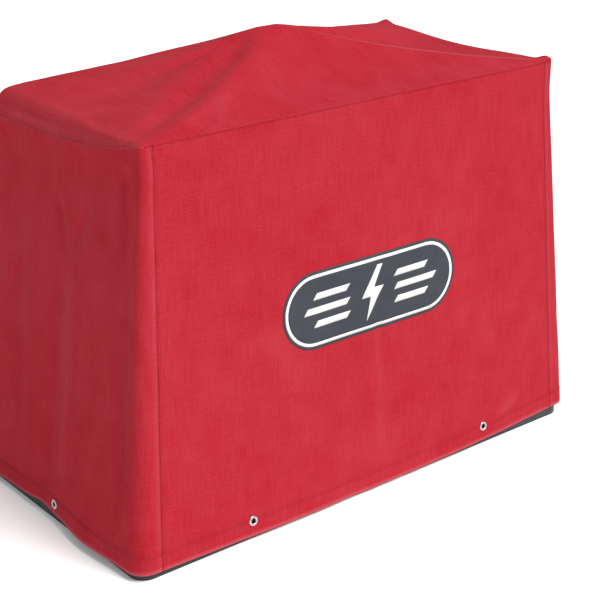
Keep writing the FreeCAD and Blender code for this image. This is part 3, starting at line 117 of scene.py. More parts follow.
def wire_object(name: str, points: Iterable, edges: Iterable = ()) -> bpy.types.Object:
    """Makes an object of bare points, or points joined by edges, for a node tree to dress.

    Args:
        name: Name of the object and its mesh.
        points: The points, in metres.
        edges: Pairs of point numbers.

    Returns:
        The new object, at the origin.
    """
    mesh = bpy.data.meshes.new(name)
    mesh.from_pydata([tuple(p) for p in points], list(edges), [])
    return link_new(name, mesh)


def mesh_object(name: str, points: Iterable, faces: Iterable, shade_smooth: bool = True) -> bpy.types.Object:
    """Makes a mesh object from points and faces and links it to the scene.

    Args:
        name: Name of the object and its mesh.
        points: The points, in metres.
        faces: The point numbers of each face.
        shade_smooth: Whether the faces are shaded smooth.

    Returns:
        The new object, at the origin.
    """
    mesh = bpy.data.meshes.new(name)
    mesh.from_pydata([tuple(p) for p in points], [], [tuple(f) for f in faces])
    mesh.validate()
    mesh.polygons.foreach_set("use_smooth", [shade_smooth] * len(mesh.polygons))
    return link_new(name, mesh)


def bake_modifiers(obj: bpy.types.Object) -> bpy.types.Object:
    """Turns the object's evaluated shape into its plain mesh and removes its modifiers.

    Args:
        obj: The mesh object.

    Returns:
        The same object.
    """
    graph = bpy.context.evaluated_depsgraph_get()
    plain = bpy.data.meshes.new_from_object(obj.evaluated_get(graph), depsgraph=graph)
    obj.modifiers.clear()
    obj.data = plain
    return obj


def fix_normals(obj: bpy.types.Object) -> None:
    """Merges doubles and points every face outwards.

    Args:
        obj: A mesh object of closed shells.
    """
    work = bmesh.new()
    work.from_mesh(obj.data)
    bmesh.ops.remove_doubles(work, verts=work.verts, dist=WELD)
    bmesh.ops.recalc_face_normals(work, faces=work.faces)
    work.to_mesh(obj.data)
    work.free()
    obj.data.update()


def dress(obj: bpy.types.Object, finish: "Finish") -> bpy.types.Object:
    """Gives the object one finish all over.

    Args:
        obj: The mesh object.
        finish: What it is made of.

    Returns:
        The same object.
    """
    obj.data.materials.clear()
    obj.data.materials.append(finish.material())
    return obj


def lathe(profile: list[tuple[float, float]], steps: int) -> tuple[list[Vector], list[tuple[int, ...]]]:
    """Turns a closed profile round Z.

    Args:
        profile: Radius and height of each corner, round the section.
        steps: Number of sides.

    Returns:
        The points and the faces.
    """
    points, faces, count = [], [], len(profile)
    for i in range(steps):
        angle = 2.0 * math.pi * i / steps
        points += [Vector((r * math.cos(angle), r * math.sin(angle), h)) for r, h in profile]
    for i in range(steps):
        here, following = i * count, (i + 1) % steps * count
        for k in range(count):
            m = (k + 1) % count
            faces.append((here + k, following + k, following + m, here + m))
    return points, faces


@dataclass
class Gathered:
    """Points and faces of several shapes on their way into one mesh."""

    points: list[Vector] = field(default_factory=list)
    faces: list[tuple[int, ...]] = field(default_factory=list)

    def add(self, points: list[Vector], faces: Iterable[Iterable[int]]) -> None:
        """Adds a shape whose faces count its own points from 0.

        Args:
            points: The shape's points.
            faces: The shape's faces, by point number.
        """
        base = len(self.points)
        self.points += points
        self.faces += [tuple(base + v for v in face) for face in faces]

    def solid(self, name: str, finish: "Finish", shade_smooth: bool = True) -> bpy.types.Object:
        """Makes the mesh object, turns its faces outwards and dresses it.

        Args:
            name: Name of the piece.
            finish: What it is made of.
            shade_smooth: Whether the faces are shaded smooth.

        Returns:
            The finished piece.
        """
        obj = mesh_object(name, self.points, self.faces, shade_smooth)
        fix_normals(obj)
        return dress(obj, finish)


# ------------------------------------------------------------------ shader groups
class NodeBench:
    """Adds and wires nodes in one tree."""

    def __init__(self, tree: bpy.types.NodeTree) -> None:
        """Starts on an empty tree."""
        self.tree = tree
        tree.nodes.clear()

    def add(self, kind: str, **settings: object) -> bpy.types.Node:
        """Adds a node; settings are its properties.

        Args:
            kind: The node's type.
            settings: Its properties by name.

        Returns:
            The new node.
        """
        node = self.tree.nodes.new(kind)
        for key, value in settings.items():
            setattr(node, key, value)
        return node

    def feed(self, socket: bpy.types.NodeSocket, value: object) -> None:
        """Links an output to the socket, or sets the socket to a value.

        Args:
            socket: The input that is fed.
            value: An output socket, or a plain value.
        """
        if isinstance(value, bpy.types.NodeSocket):
            self.tree.links.new(value, socket)
        else:
            socket.default_value = value

    def math(self, operation: str, a: object, b: object = 0.0, c: object = 0.0) -> bpy.types.NodeSocket:
        """Returns the result of a math node.

        Args:
            operation: The operation's name.
            a: First value or socket.
            b: Second value or socket.
            c: Third value or socket.

        Returns:
            The result's socket.
        """
        node = self.add("ShaderNodeMath", operation=operation)
        for socket, value in zip(node.inputs, (a, b, c)):
            self.feed(socket, value)
        return node.outputs[0]

    def noise(self, vector: object, scale: object, detail: float = 3.0) -> bpy.types.NodeSocket:
        """Returns a noise value from 0 to 1.

        Args:
            vector: The pattern's coordinates.
            scale: How many bumps fit in a metre.
            detail: How many finer layers it has.

        Returns:
            The noise's socket.
        """
        node = self.add("ShaderNodeTexNoise")
        self.feed(node.inputs["Vector"], vector)
        self.feed(node.inputs["Scale"], scale)
        node.inputs["Detail"].default_value = detail
        return node.outputs["Fac"]

    def stretch(self, vector: object, scale: tuple[float, float, float]) -> bpy.types.NodeSocket:
        """Returns the vector scaled along each axis.

        Args:
            vector: The coordinates.
            scale: The factor along each axis.

        Returns:
            The scaled vector's socket.
        """
        node = self.add("ShaderNodeMapping")
        self.feed(node.inputs["Vector"], vector)
        node.inputs["Scale"].default_value = scale
        return node.outputs[0]

    def blend(self, factor: object, a: object, b: object) -> bpy.types.NodeSocket:
        """Returns a mix of two colours.

        Args:
            factor: 0 for a and 1 for b.
            a: First colour or socket.
            b: Second colour or socket.

        Returns:
            The mixed colour's socket.
        """
        node = self.add("ShaderNodeMix", data_type="RGBA")
        self.feed(node.inputs[0], factor)
        for socket, value in ((node.inputs[6], a), (node.inputs[7], b)):
            self.feed(socket, (*value, 1.0) if isinstance(value, tuple) and len(value) == 3 else value)
        return node.outputs[2]

    def ramp(self, value: object, low: float, high: float, start: float = 0.0, end: float = 1.0
             ) -> bpy.types.NodeSocket:
        """Returns value mapped from low..high to start..end, clamped.

        Args:
            value: The value or socket.
            low: Value that gives start.
            high: Value that gives end.
            start: Result at low.
            end: Result at high.

        Returns:
            The mapped value's socket.
        """
        node = self.add("ShaderNodeMapRange")
        for socket, number in zip(node.inputs, (value, low, high, start, end)):
            self.feed(socket, number)
        return node.outputs[0]


def shader_group(name: str, inputs: dict[str, object], outputs: dict[str, str],
                 fill: Callable[[NodeBench, dict], dict]) -> bpy.types.NodeTree:
    """Builds a shader node group once and returns it.

    Args:
        name: The group's name.
        inputs: Default of each input: a number, a colour or None for a vector.
        outputs: Socket type of each output.
        fill: Adds the nodes, given the input sockets, and returns the output sockets by name.

    Returns:
        The node group.
    """
    if name in bpy.data.node_groups:
        return bpy.data.node_groups[name]
    tree = bpy.data.node_groups.new(name, "ShaderNodeTree")
    for key, value in inputs.items():
        kind = "NodeSocketVector" if value is None else (
            "NodeSocketColor" if isinstance(value, tuple) else "NodeSocketFloat")
        socket = tree.interface.new_socket(name=key, in_out="INPUT", socket_type=kind)
        if isinstance(value, tuple):
            socket.default_value = (*value, 1.0)
        elif value is not None:
            socket.default_value = value
    for key, kind in outputs.items():
        tree.interface.new_socket(name=key, in_out="OUTPUT", socket_type=kind)
    bench = NodeBench(tree)
    source, sink = bench.add("NodeGroupInput"), bench.add("NodeGroupOutput")
    made = fill(bench, {key: source.outputs[key] for key in inputs})
    for key, socket in made.items():
        bench.feed(sink.inputs[key], socket)
    return tree


CLOUD_SCALE = 7.0
CLOUD_SHADES = (0.86, 1.1)
SCRATCH_SCALES = (30.0, 30.0, 220.0)
SCUFF_SCALE = 11.0
SMEAR_SCALE = 34.0
DUST_HEIGHT = 0.35
DUST_COLOUR = (0.33, 0.29, 0.24)
DUST_ROUGHNESS = 0.25
WARP_SCALES = (430.0, 15.0, 1.0)
WEFT_SCALES = (15.0, 430.0, 1.0)
FLECK_SCALES = (330.0, 330.0, 1.0)
FADE_SCALE = 3.2
BLOTCH_SCALES = (19.0, 15.0, 1.0)
THREAD_SHADES = (0.93, 1.07)
# Share of the canvas colour left where the painted shade of seams and creases is deepest.
DEEPEST_PAINTED_SHADE = 0.55
THREAD_RELIEF = 0.35
GRAIN_HEIGHT = 0.8 * MM
WEAVE_HEIGHT = 0.6 * MM
# Painted shade in the gaps between laminations and between turns of wire.
GAP_SHADE_COLOUR = (0.01, 0.008, 0.006)
STRAW = (0.40, 0.24, 0.10)
BLUED = (0.10, 0.11, 0.20)


def wear_group() -> bpy.types.NodeTree:
    """Use marks for hard surfaces: uneven shade, scuffs, settled dust and fine grain.

    Returns:
        The node group.
    """

    def fill(b: NodeBench, i: dict) -> dict:
        """Adds the nodes of the wear group.

        Args:
            b: Bench on the group's tree.
            i: The group's inputs by name.

        Returns:
            The group's outputs by name.
        """
        cloud = b.noise(i["Vector"], CLOUD_SCALE, 4.0)
        tinted = b.add("ShaderNodeHueSaturation")
        b.feed(tinted.inputs["Color"], i["Color"])
        b.feed(tinted.inputs["Value"], b.ramp(cloud, 0.3, 0.7, *CLOUD_SHADES))
        scratch = b.ramp(b.noise(b.stretch(i["Vector"], SCRATCH_SCALES), 1.0, 2.0), 0.66, 0.74)
        scratched = b.ramp(b.noise(i["Vector"], SCUFF_SCALE), 0.55, 0.65)
        scuff = b.math("MULTIPLY", b.math("MULTIPLY", scratch, scratched), i["Wear"])
        coloured = b.blend(scuff, tinted.outputs[0], i["Under"])
        low = b.add("ShaderNodeSeparateXYZ")
        b.feed(low.inputs[0], i["Vector"])
        dust = b.math("MULTIPLY", b.ramp(low.outputs[2], DUST_HEIGHT, 0.0), b.ramp(cloud, 0.35, 0.7))
        dust = b.math("MULTIPLY", dust, i["Dust"])
        dusty = b.blend(dust, coloured, DUST_COLOUR)
        grain = b.noise(i["Vector"], i["Grain"], 2.0)
        smear = b.ramp(b.noise(i["Vector"], SMEAR_SCALE), 0.3, 0.7, -0.06, 0.08)
        rough = b.math("ADD", i["Roughness"], smear)
        rough = b.math("ADD", rough, b.math("MULTIPLY", dust, DUST_ROUGHNESS))
        return {"Color": dusty, "Roughness": rough, "Height": grain}

    inputs = {"Vector": None, "Color": (0.5, 0.5, 0.5), "Under": (0.4, 0.4, 0.4), "Roughness": 0.5,
              "Wear": 0.5, "Dust": 0.5, "Grain": 900.0}
    outputs = {"Color": "NodeSocketColor", "Roughness": "NodeSocketFloat", "Height": "NodeSocketFloat"}
    return shader_group("use_marks", inputs, outputs, fill)


def weave_group() -> bpy.types.NodeTree:
    """Plain weave with slubs: shade streaks along both threads, sun fade, painted shade and painted
    highlights from the tone, and height.

    Returns:
        The node group.
    """

    def fill(b: NodeBench, i: dict) -> dict:
        """Adds the nodes of the weave group.

        Args:
            b: Bench on the group's tree.
            i: The group's inputs by name.

        Returns:
            The group's outputs by name.
        """
        warp = b.noise(b.stretch(i["Vector"], WARP_SCALES), 1.0, 3.0)
        weft = b.noise(b.stretch(i["Vector"], WEFT_SCALES), 1.0, 3.0)
        fleck = b.noise(b.stretch(i["Vector"], FLECK_SCALES), 1.0, 4.0)
        streaks = b.math("ADD", b.math("MULTIPLY", warp, 0.30), b.math("MULTIPLY", weft, 0.18))
        streaks = b.math("ADD", streaks, b.math("MULTIPLY", fleck, 0.52))
        blotch = b.noise(b.stretch(i["Vector"], BLOTCH_SCALES), 1.0, 5.0)
        cloud = b.math("ADD", b.math("MULTIPLY", b.noise(i["Vector"], FADE_SCALE, 5.0), 0.5),
                       b.math("MULTIPLY", blotch, 0.5))
        shade = b.ramp(streaks, 0.38, 0.62, *THREAD_SHADES)
        chalk = b.math("ADD", b.math("MULTIPLY", cloud, 0.45), b.math("MULTIPLY", streaks, 0.55))
        fade = b.math("MULTIPLY", b.ramp(chalk, 0.40, 0.60), i["Fade"])
        # Tone below 0 darkens the colour as painted shade; tone above 0 mixes in the paler colour as a
        # painted highlight.
        shade = b.math("MULTIPLY", shade, b.ramp(i["Tone"], -1.0, 0.0, DEEPEST_PAINTED_SHADE, 1.0))
        toned = b.add("ShaderNodeHueSaturation")
        painted_highlight = b.math("MAXIMUM", i["Tone"], 0.0)
        b.feed(toned.inputs["Color"], b.blend(painted_highlight, b.blend(fade, i["Color"], i["Faded"]), i["Rubbed"]))
        b.feed(toned.inputs["Value"], shade)
        parts = b.add("ShaderNodeSeparateXYZ")
        b.feed(parts.inputs[0], i["Vector"])
        turns = [b.math("SINE", b.math("MULTIPLY", parts.outputs[k], i["Threads"])) for k in (0, 1)]
        height = b.math("MULTIPLY_ADD", b.math("MULTIPLY", *turns), THREAD_RELIEF, streaks)
        return {"Color": toned.outputs[0], "Height": height}

    # The paler colour input is the colour of the painted highlights.
    inputs = {"Vector": None, "Color": (0.6, 0.02, 0.04), "Faded": (0.6, 0.05, 0.08), "Fade": 0.5,
              "Rubbed": (0.6, 0.2, 0.22), "Threads": 5200.0, "Tone": 0.0}
    return shader_group("woven_duck", inputs, {"Color": "NodeSocketColor", "Height": "NodeSocketFloat"}, fill)


# ------------------------------------------------------------------ finishes
class Coordinates(Enum):
    """Where a finish reads its pattern's place from."""

    OBJECT = "Object"
    CLOTH = "weave"


@dataclass(frozen=True)
class Finish:
    """A material by name; subclasses say how it looks."""

    name: str
    colour: Colour

    def material(self) -> bpy.types.Material:
        """Returns the Blender material, built on first use.

        Returns:
            The material of this finish.
        """
        found = bpy.data.materials.get(self.name)
        if found is not None:
            return found
        made = bpy.data.materials.new(self.name)
        made.use_nodes = True
        made.diffuse_color = (*self.colour, 1.0)
        bench = NodeBench(made.node_tree)
        surface = bench.add("ShaderNodeBsdfPrincipled")
        sink = bench.add("ShaderNodeOutputMaterial")
        bench.feed(sink.inputs["Surface"], surface.outputs[0])
        self.paint(bench, surface)
        return made

    def paint(self, bench: NodeBench, surface: bpy.types.Node) -> None:
        """Fills in the shader. A plain finish has only its colour."""
        surface.inputs["Base Color"].default_value = (*self.colour, 1.0)

    @staticmethod
    def place(bench: NodeBench, source: Coordinates = Coordinates.OBJECT) -> bpy.types.NodeSocket:
        """Returns the pattern's coordinates.

        Args:
            bench: Bench on the material's tree.
            source: Where the coordinates come from.

        Returns:
            The coordinates' socket.
        """
        if source is Coordinates.CLOTH:
            return bench.add("ShaderNodeUVMap", uv_map=source.value).outputs[0]
        return bench.add("ShaderNodeTexCoord").outputs[source.value]

    @staticmethod
    def bump(bench: NodeBench, surface: bpy.types.Node, height: object, strength: float,
             distance: float) -> None:
        """Feeds a height through a Bump node to the shader's normal.

        Args:
            bench: Bench on the material's tree.
            surface: The surface shader.
            height: The height's socket.
            strength: How strongly it tilts the surface.
            distance: Height of a full step, in metres.
        """
        node = bench.add("ShaderNodeBump")
        node.inputs["Strength"].default_value = strength
        node.inputs["Distance"].default_value = distance
        bench.feed(node.inputs["Height"], height)
        bench.feed(surface.inputs["Normal"], node.outputs[0])


@dataclass(frozen=True)
class Worn(Finish):
    """A hard surface with use marks: paint, plastic, rubber or metal."""

    roughness: float = 0.45
    metallic: float = 0.0
    under: Colour = (0.45, 0.45, 0.44)
    wear: float = 0.5
    dust: float = 0.5
    grain: float = 900.0
    relief: float = 0.15
    coat: float = 0.0

    def paint(self, bench: NodeBench, surface: bpy.types.Node) -> None:
        """Wires the use-marks group with this finish's values.

        Args:
            bench: Bench on the material's tree.
            surface: The surface shader.
        """
        group = bench.add("ShaderNodeGroup", node_tree=wear_group())
        settings = {"Vector": self.place(bench), "Color": (*self.colour, 1.0), "Under": (*self.under, 1.0),
                    "Roughness": self.roughness, "Wear": self.wear, "Dust": self.dust, "Grain": self.grain}
        for key, value in settings.items():
            bench.feed(group.inputs[key], value)
        bench.feed(surface.inputs["Base Color"], self.pattern(bench, group.outputs["Color"]))
        bench.feed(surface.inputs["Roughness"], group.outputs["Roughness"])
        surface.inputs["Metallic"].default_value = self.metallic
        surface.inputs["Coat Weight"].default_value = self.coat
        self.bump(bench, surface, group.outputs["Height"], self.relief, GRAIN_HEIGHT)

    def pattern(self, bench: NodeBench, colour: bpy.types.NodeSocket) -> bpy.types.NodeSocket:
        """Returns the colour with the finish's own pattern; the base has none."""
        return colour


@dataclass(frozen=True)
class Layered(Worn):
    """Thin layers side by side, such as laminations or wound wire."""

    pitch: float = 1.2 * MM
    along: int = 0
    depth: float = 0.45

    def pattern(self, bench: NodeBench, colour: bpy.types.NodeSocket) -> bpy.types.NodeSocket:
        """Paints shade into the gaps between the layers.

        Args:
            bench: Bench on the material's tree.
            colour: The colour of the layers.

        Returns:
            The colour with painted shade in its gaps.
        """
        parts = bench.add("ShaderNodeSeparateXYZ")
        bench.feed(parts.inputs[0], self.place(bench))
        phase = bench.math("MULTIPLY", parts.outputs[self.along], 2.0 * math.pi / self.pitch)
        gaps = bench.ramp(bench.math("SINE", phase), 0.2, 1.0, 0.0, self.depth)
        return bench.blend(gaps, colour, GAP_SHADE_COLOUR)


@dataclass(frozen=True)
class HeatTinted(Worn):
    """Steel that has been hot: straw and blue bands that wander over it."""

    def pattern(self, bench: NodeBench, colour: bpy.types.NodeSocket) -> bpy.types.NodeSocket:
        """Adds the straw and blue bands.

        Args:
            bench: Bench on the material's tree.
            colour: The colour of the bare steel.

        Returns:
            The colour with its heat bands.
        """
        cloud = bench.noise(self.place(bench), 9.0, 3.0)
        straw = bench.blend(bench.ramp(cloud, 0.42, 0.56, 0.0, 0.7), colour, STRAW)
        return bench.blend(bench.ramp(cloud, 0.58, 0.70, 0.0, 0.6), straw, BLUED)


@dataclass(frozen=True)
class Canvas(Finish):
    """Woven cotton duck."""

    faded: Colour = (0.43, 0.03, 0.05)
    # Paler colour of the painted highlights on ridges, folds and edges.
    painted_highlight: Colour = (0.58, 0.17, 0.20)
    fade: float = 0.5
    relief: float = 0.35

    def paint(self, bench: NodeBench, surface: bpy.types.Node) -> None:
        """Wires the weave group and a soft sheen.

        Args:
            bench: Bench on the material's tree.
            surface: The surface shader.
        """
        group = bench.add("ShaderNodeGroup", node_tree=weave_group())
        # The tone attribute carries the painted shade and painted highlights of seams, edges and folds.
        settings = {"Vector": self.place(bench, Coordinates.CLOTH), "Color": (*self.colour, 1.0),
                    "Faded": (*self.faded, 1.0), "Fade": self.fade, "Rubbed": (*self.painted_highlight, 1.0),
                    "Tone": bench.add("ShaderNodeAttribute", attribute_name="tone").outputs["Fac"]}
        for key, value in settings.items():
            bench.feed(group.inputs[key], value)
        bench.feed(surface.inputs["Base Color"], group.outputs["Color"])
        surface.inputs["Roughness"].default_value = 0.92
        surface.inputs["Specular IOR Level"].default_value = 0.06
        surface.inputs["Sheen Weight"].default_value = 0.02
        surface.inputs["Sheen Roughness"].default_value = 0.6
        self.bump(bench, surface, group.outputs["Height"], self.relief, WEAVE_HEIGHT)


@dataclass(frozen=True)
class Glazing(Finish):
    """Clear glass or plastic of a gauge lens."""

    def paint(self, bench: NodeBench, surface: bpy.types.Node) -> None:
        """Sets a clear shader with faint smears in its roughness.

        Args:
            bench: Bench on the material's tree.
            surface: The surface shader.
        """
        surface.inputs["Base Color"].default_value = (*self.colour, 1.0)
        surface.inputs["Transmission Weight"].default_value = 1.0
        surface.inputs["IOR"].default_value = 1.45
        smear = bench.noise(self.place(bench), 60.0, 3.0)
        bench.feed(surface.inputs["Roughness"], bench.ramp(smear, 0.3, 0.8, 0.02, 0.12))


CANVAS = Canvas("red_canvas", (0.372, 0.0095, 0.019), faded=(0.432, 0.033, 0.050), fade=0.75)
THREAD = Worn("red_thread", (0.27, 0.008, 0.015), roughness=0.8, wear=0.0, dust=0.0, relief=0.1)
INK_DARK = Worn("slate_print", (0.030, 0.034, 0.046), roughness=0.75, wear=0.0, dust=0.0, relief=0.2)
INK_WHITE = Worn("white_print", (0.80, 0.80, 0.78), roughness=0.75, wear=0.0, dust=0.0, relief=0.2)
EYELET = Worn("eyelet_plate", (0.62, 0.62, 0.64), roughness=0.28, metallic=1.0,
              under=(0.35, 0.33, 0.30), wear=0.4)
# Dark slate paint, darkened further as painted shade for the shadow under the cover's hem.
BASE_PAINT_AND_SHADE = Worn("slate_base_paint", (0.015, 0.0165, 0.021), roughness=0.5, wear=0.2, dust=0.04)
CASE_PAINT = Worn("grey_powder_coat", (0.36, 0.37, 0.385), roughness=0.42, grain=1400.0, wear=0.35, dust=0.3)
PANEL_PAINT = Worn("black_panel_coat", (0.022, 0.022, 0.025), roughness=0.5, grain=1600.0, wear=0.2, dust=0.1)
ZINC = Worn("zinc_plate", (0.60, 0.58, 0.52), roughness=0.32, metallic=1.0,
            under=(0.30, 0.22, 0.15), wear=0.5)
POLISHED = Worn("bright_steel", (0.72, 0.72, 0.73), roughness=0.15, metallic=1.0, wear=0.15, dust=0.0)
BRASS = Worn("bright_brass", (0.70, 0.50, 0.20), roughness=0.28, metallic=1.0,
             under=(0.30, 0.18, 0.08), wear=0.5)
BLACK_PLASTIC = Worn("black_moulding", (0.018, 0.018, 0.020), roughness=0.48, grain=2200.0,
                     wear=0.1, dust=0.15)
GREEN_PLASTIC = Worn("green_moulding", (0.02, 0.26, 0.06), roughness=0.25, wear=0.05, dust=0.0, coat=0.3)
RED_PLASTIC = Worn("red_moulding", (0.45, 0.02, 0.02), roughness=0.25, wear=0.05, dust=0.0, coat=0.3)
RUBBER = Worn("black_rubber", (0.02, 0.02, 0.02), roughness=0.75, grain=700.0, wear=0.0, dust=0.6)
CAST_ALUMINIUM = Worn("cast_aluminium", (0.50, 0.50, 0.49), roughness=0.5, metallic=1.0,
                      grain=420.0, relief=0.4)
CAST_IRON = Worn("cast_iron", (0.16, 0.15, 0.14), roughness=0.6, metallic=0.8, grain=380.0, relief=0.45)
ENGINE_BLACK = Worn("engine_black", (0.025, 0.025, 0.025), roughness=0.38, wear=0.3, dust=0.4)
TANK_PAINT = Worn("tank_black", (0.03, 0.03, 0.032), roughness=0.35, wear=0.2, dust=0.3)
FILTER_PAINT = Worn("filter_white", (0.72, 0.72, 0.70), roughness=0.3, wear=0.2, dust=0.3)
DIAL_WHITE = Worn("dial_white", (0.80, 0.80, 0.78), roughness=0.55, wear=0.0, dust=0.0)
DIAL_RED = Worn("dial_red", (0.55, 0.02, 0.02), roughness=0.4, wear=0.0, dust=0.0)
LAMINATIONS = Layered("laminations", (0.22, 0.20, 0.19), roughness=0.45, metallic=0.6, pitch=2.0 * MM)
COPPER = Layered("copper_wire", (0.48, 0.17, 0.07), roughness=0.3, metallic=0.7, pitch=2.4 * MM, wear=0.1)
EXHAUST = HeatTinted("exhaust_steel", (0.34, 0.31, 0.28), roughness=0.45, metallic=0.9, grain=500.0)
LENS = Glazing("gauge_lens", (0.95, 0.97, 0.97))

NODE_FINISHES: dict[Finish, tuple[str, ...]] = {
    BASE_PAINT_AND_SHADE: ("base_deck", "engine_cradle", "lift_frame"),
    RUBBER: ("engine_mounts",),
    CASE_PAINT: ("roof_panel", "side_panel_right", "side_panel_left", "service_door_right",
                 "service_door_left", "rear_panel", "rear_grille"),
    PANEL_PAINT: ("control_panel", "output_panel"),
    ZINC: ("door_hinges", "door_latch_right", "door_latch_left", "panel_screws", "panel_collars",
           "lid_hinge_pin", "choke_lever", "crankshaft"),
    POLISHED: ("run_stop_switch",),
    BRASS: ("output_studs",),
    BLACK_PLASTIC: ("gauges", "receptacles", "receptacle_lid", "output_knob", "mode_knob", "choke_knob",
                    "fuel_cap", "alternator_fan", "battery"),
    GREEN_PLASTIC: ("start_button",),
    RED_PLASTIC: ("breaker_button_1", "breaker_button_2"),
    LAMINATIONS: ("stator_core", "reactor"),
    COPPER: ("stator_windings", "rotor"),
    CAST_ALUMINIUM: ("end_bracket", "bell_housing", "crankcase", "cylinders", "cylinder_heads",
                     "carburetor", "rectifier"),
    ENGINE_BLACK: ("blower_housing", "air_cleaner", "starter_motor"),
    CAST_IRON: ("flywheel",),
    EXHAUST: ("muffler",),
    FILTER_PAINT: ("oil_filter",),
    TANK_PAINT: ("fuel_tank",),
}


# ------------------------------------------------------------------ geometry node tools
def node_tool(name: str, sockets: dict[str, str], fill: Callable[[NodeBench, dict], bpy.types.NodeSocket]
              ) -> bpy.types.NodeTree:
    """Builds a geometry node tree whose result gets the Material input.

    Args:
        name: The tree's name.
        sockets: Socket type of each input after Geometry and before Material.
        fill: Adds the nodes and returns the instances' socket.

    Returns:
        The node tree.
    """
    if name in bpy.data.node_groups:
        return bpy.data.node_groups[name]
    tree = bpy.data.node_groups.new(name, "GeometryNodeTree")
    kinds = {"Geometry": "NodeSocketGeometry", **sockets, "Material": "NodeSocketMaterial"}
    for key, kind in kinds.items():
        tree.interface.new_socket(name=key, in_out="INPUT", socket_type=kind)
    tree.interface.new_socket(name="Geometry", in_out="OUTPUT", socket_type="NodeSocketGeometry")
    bench = NodeBench(tree)
    source, sink = bench.add("NodeGroupInput"), bench.add("NodeGroupOutput")
    real = bench.add("GeometryNodeRealizeInstances")
    bench.feed(real.inputs[0], fill(bench, {key: source.outputs[key] for key in kinds}))
    paint = bench.add("GeometryNodeSetMaterial")
    bench.feed(paint.inputs["Geometry"], real.outputs[0])
    bench.feed(paint.inputs["Material"], source.outputs["Material"])
    bench.feed(sink.inputs[0], paint.outputs[0])
    return tree


def run_tool(obj: bpy.types.Object, tree: bpy.types.NodeTree, **values: object) -> bpy.types.Object:
    """Runs a node tree on an object and leaves the plain mesh.

    Args:
        obj: The object the tree starts from.
        tree: The node tree.
        values: The tree's inputs by name.

    Returns:
        The object with its plain mesh.
    """
    modifier = obj.modifiers.new(tree.name, "NODES")
    modifier.node_group = tree
    for item in tree.interface.items_tree:
        if item.in_out == "INPUT" and item.name in values:
            modifier[item.identifier] = values[item.name]
    return bake_modifiers(obj)


def stitch_tool() -> bpy.types.NodeTree:
    """Stitches along a line of edges: one short thread every pitch.

    Returns:
        The node tree.
    """

    def fill(b: NodeBench, i: dict) -> bpy.types.NodeSocket:
        """Adds the nodes that lay the stitches.

        Args:
            b: Bench on the tree.
            i: The tree's inputs by name.

        Returns:
            The instances' socket.
        """
        line = b.add("GeometryNodeMeshToCurve")
        b.feed(line.inputs["Mesh"], i["Geometry"])
        even = b.add("GeometryNodeResampleCurve", mode="LENGTH")
        b.feed(even.inputs["Curve"], line.outputs[0])
        b.feed(even.inputs["Length"], i["Pitch"])
        thread = b.add("GeometryNodeMeshUVSphere")
        thread.inputs["Segments"].default_value = 6
        thread.inputs["Rings"].default_value = 4
        b.feed(thread.inputs["Radius"], i["Thread"])
        long = b.add("GeometryNodeTransform")
        b.feed(long.inputs["Geometry"], thread.outputs["Mesh"])
        scale = b.add("ShaderNodeCombineXYZ")
        scale.inputs[0].default_value = 1.0
        scale.inputs[1].default_value = 1.0
        b.feed(scale.inputs[2], i["Stretch"])
        b.feed(long.inputs["Scale"], scale.outputs[0])
        turn = b.add("FunctionNodeAlignRotationToVector", axis="Z")
        b.feed(turn.inputs["Vector"], b.add("GeometryNodeInputTangent").outputs[0])
        spread = b.add("GeometryNodeInstanceOnPoints")
        b.feed(spread.inputs["Points"], even.outputs[0])
        b.feed(spread.inputs["Instance"], long.outputs["Geometry"])
        b.feed(spread.inputs["Rotation"], turn.outputs[0])
        return spread.outputs[0]

    sockets = {"Pitch": "NodeSocketFloat", "Thread": "NodeSocketFloat", "Stretch": "NodeSocketFloat"}
    return node_tool("stitch_row", sockets, fill)


def tick_tool() -> bpy.types.NodeTree:
    """Marks spread round an arc, each pointing at the arc's centre.

    Returns:
        The node tree.
    """

    def fill(b: NodeBench, i: dict) -> bpy.types.NodeSocket:
        """Adds the nodes that place the marks on the object's points.

        Args:
            b: Bench on the tree.
            i: The tree's inputs by name.

        Returns:
            The instances' socket.
        """
        mark = b.add("GeometryNodeMeshCube")
        size = b.add("ShaderNodeCombineXYZ")
        for k, key in enumerate(("Depth", "Length", "Width")):
            b.feed(size.inputs[k], i[key])
        b.feed(mark.inputs["Size"], size.outputs[0])
        normal = b.add("GeometryNodeInputNamedAttribute", data_type="FLOAT_VECTOR")
        normal.inputs["Name"].default_value = "outward"
        turn = b.add("FunctionNodeAlignRotationToVector", axis="Y", pivot_axis="X")
        b.feed(turn.inputs["Vector"], normal.outputs[0])
        spread = b.add("GeometryNodeInstanceOnPoints")
        b.feed(spread.inputs["Points"], i["Geometry"])
        b.feed(spread.inputs["Instance"], mark.outputs["Mesh"])
        b.feed(spread.inputs["Rotation"], turn.outputs[0])
        return spread.outputs[0]

    sockets = {"Depth": "NodeSocketFloat", "Length": "NodeSocketFloat", "Width": "NodeSocketFloat"}
    return node_tool("dial_marks", sockets, fill)


# ------------------------------------------------------------------ the cover's shape
class Side(Enum):
    """The cover's four walls, in order round it, by their outward direction."""

    FRONT = (0, -1)
    RIGHT = (1, 0)
    BACK = (0, 1)
    LEFT = (-1, 0)

    @property
    def outward(self) -> Vector:
        """Returns the wall's outward direction."""
        return Vector((self.value[0], self.value[1], 0.0))

    @property
    def along(self) -> Vector:
        """Returns the direction in which the wall's samples run."""
        return Vector((-self.value[1], self.value[0], 0.0))

    @property
    def long(self) -> bool:
        """Tells whether this is one of the two long walls."""
        return self in (Side.FRONT, Side.BACK)

    @property
    def before(self) -> "Side":
        """Returns the wall before this one."""
        order = list(Side)
        return order[order.index(self) - 1]


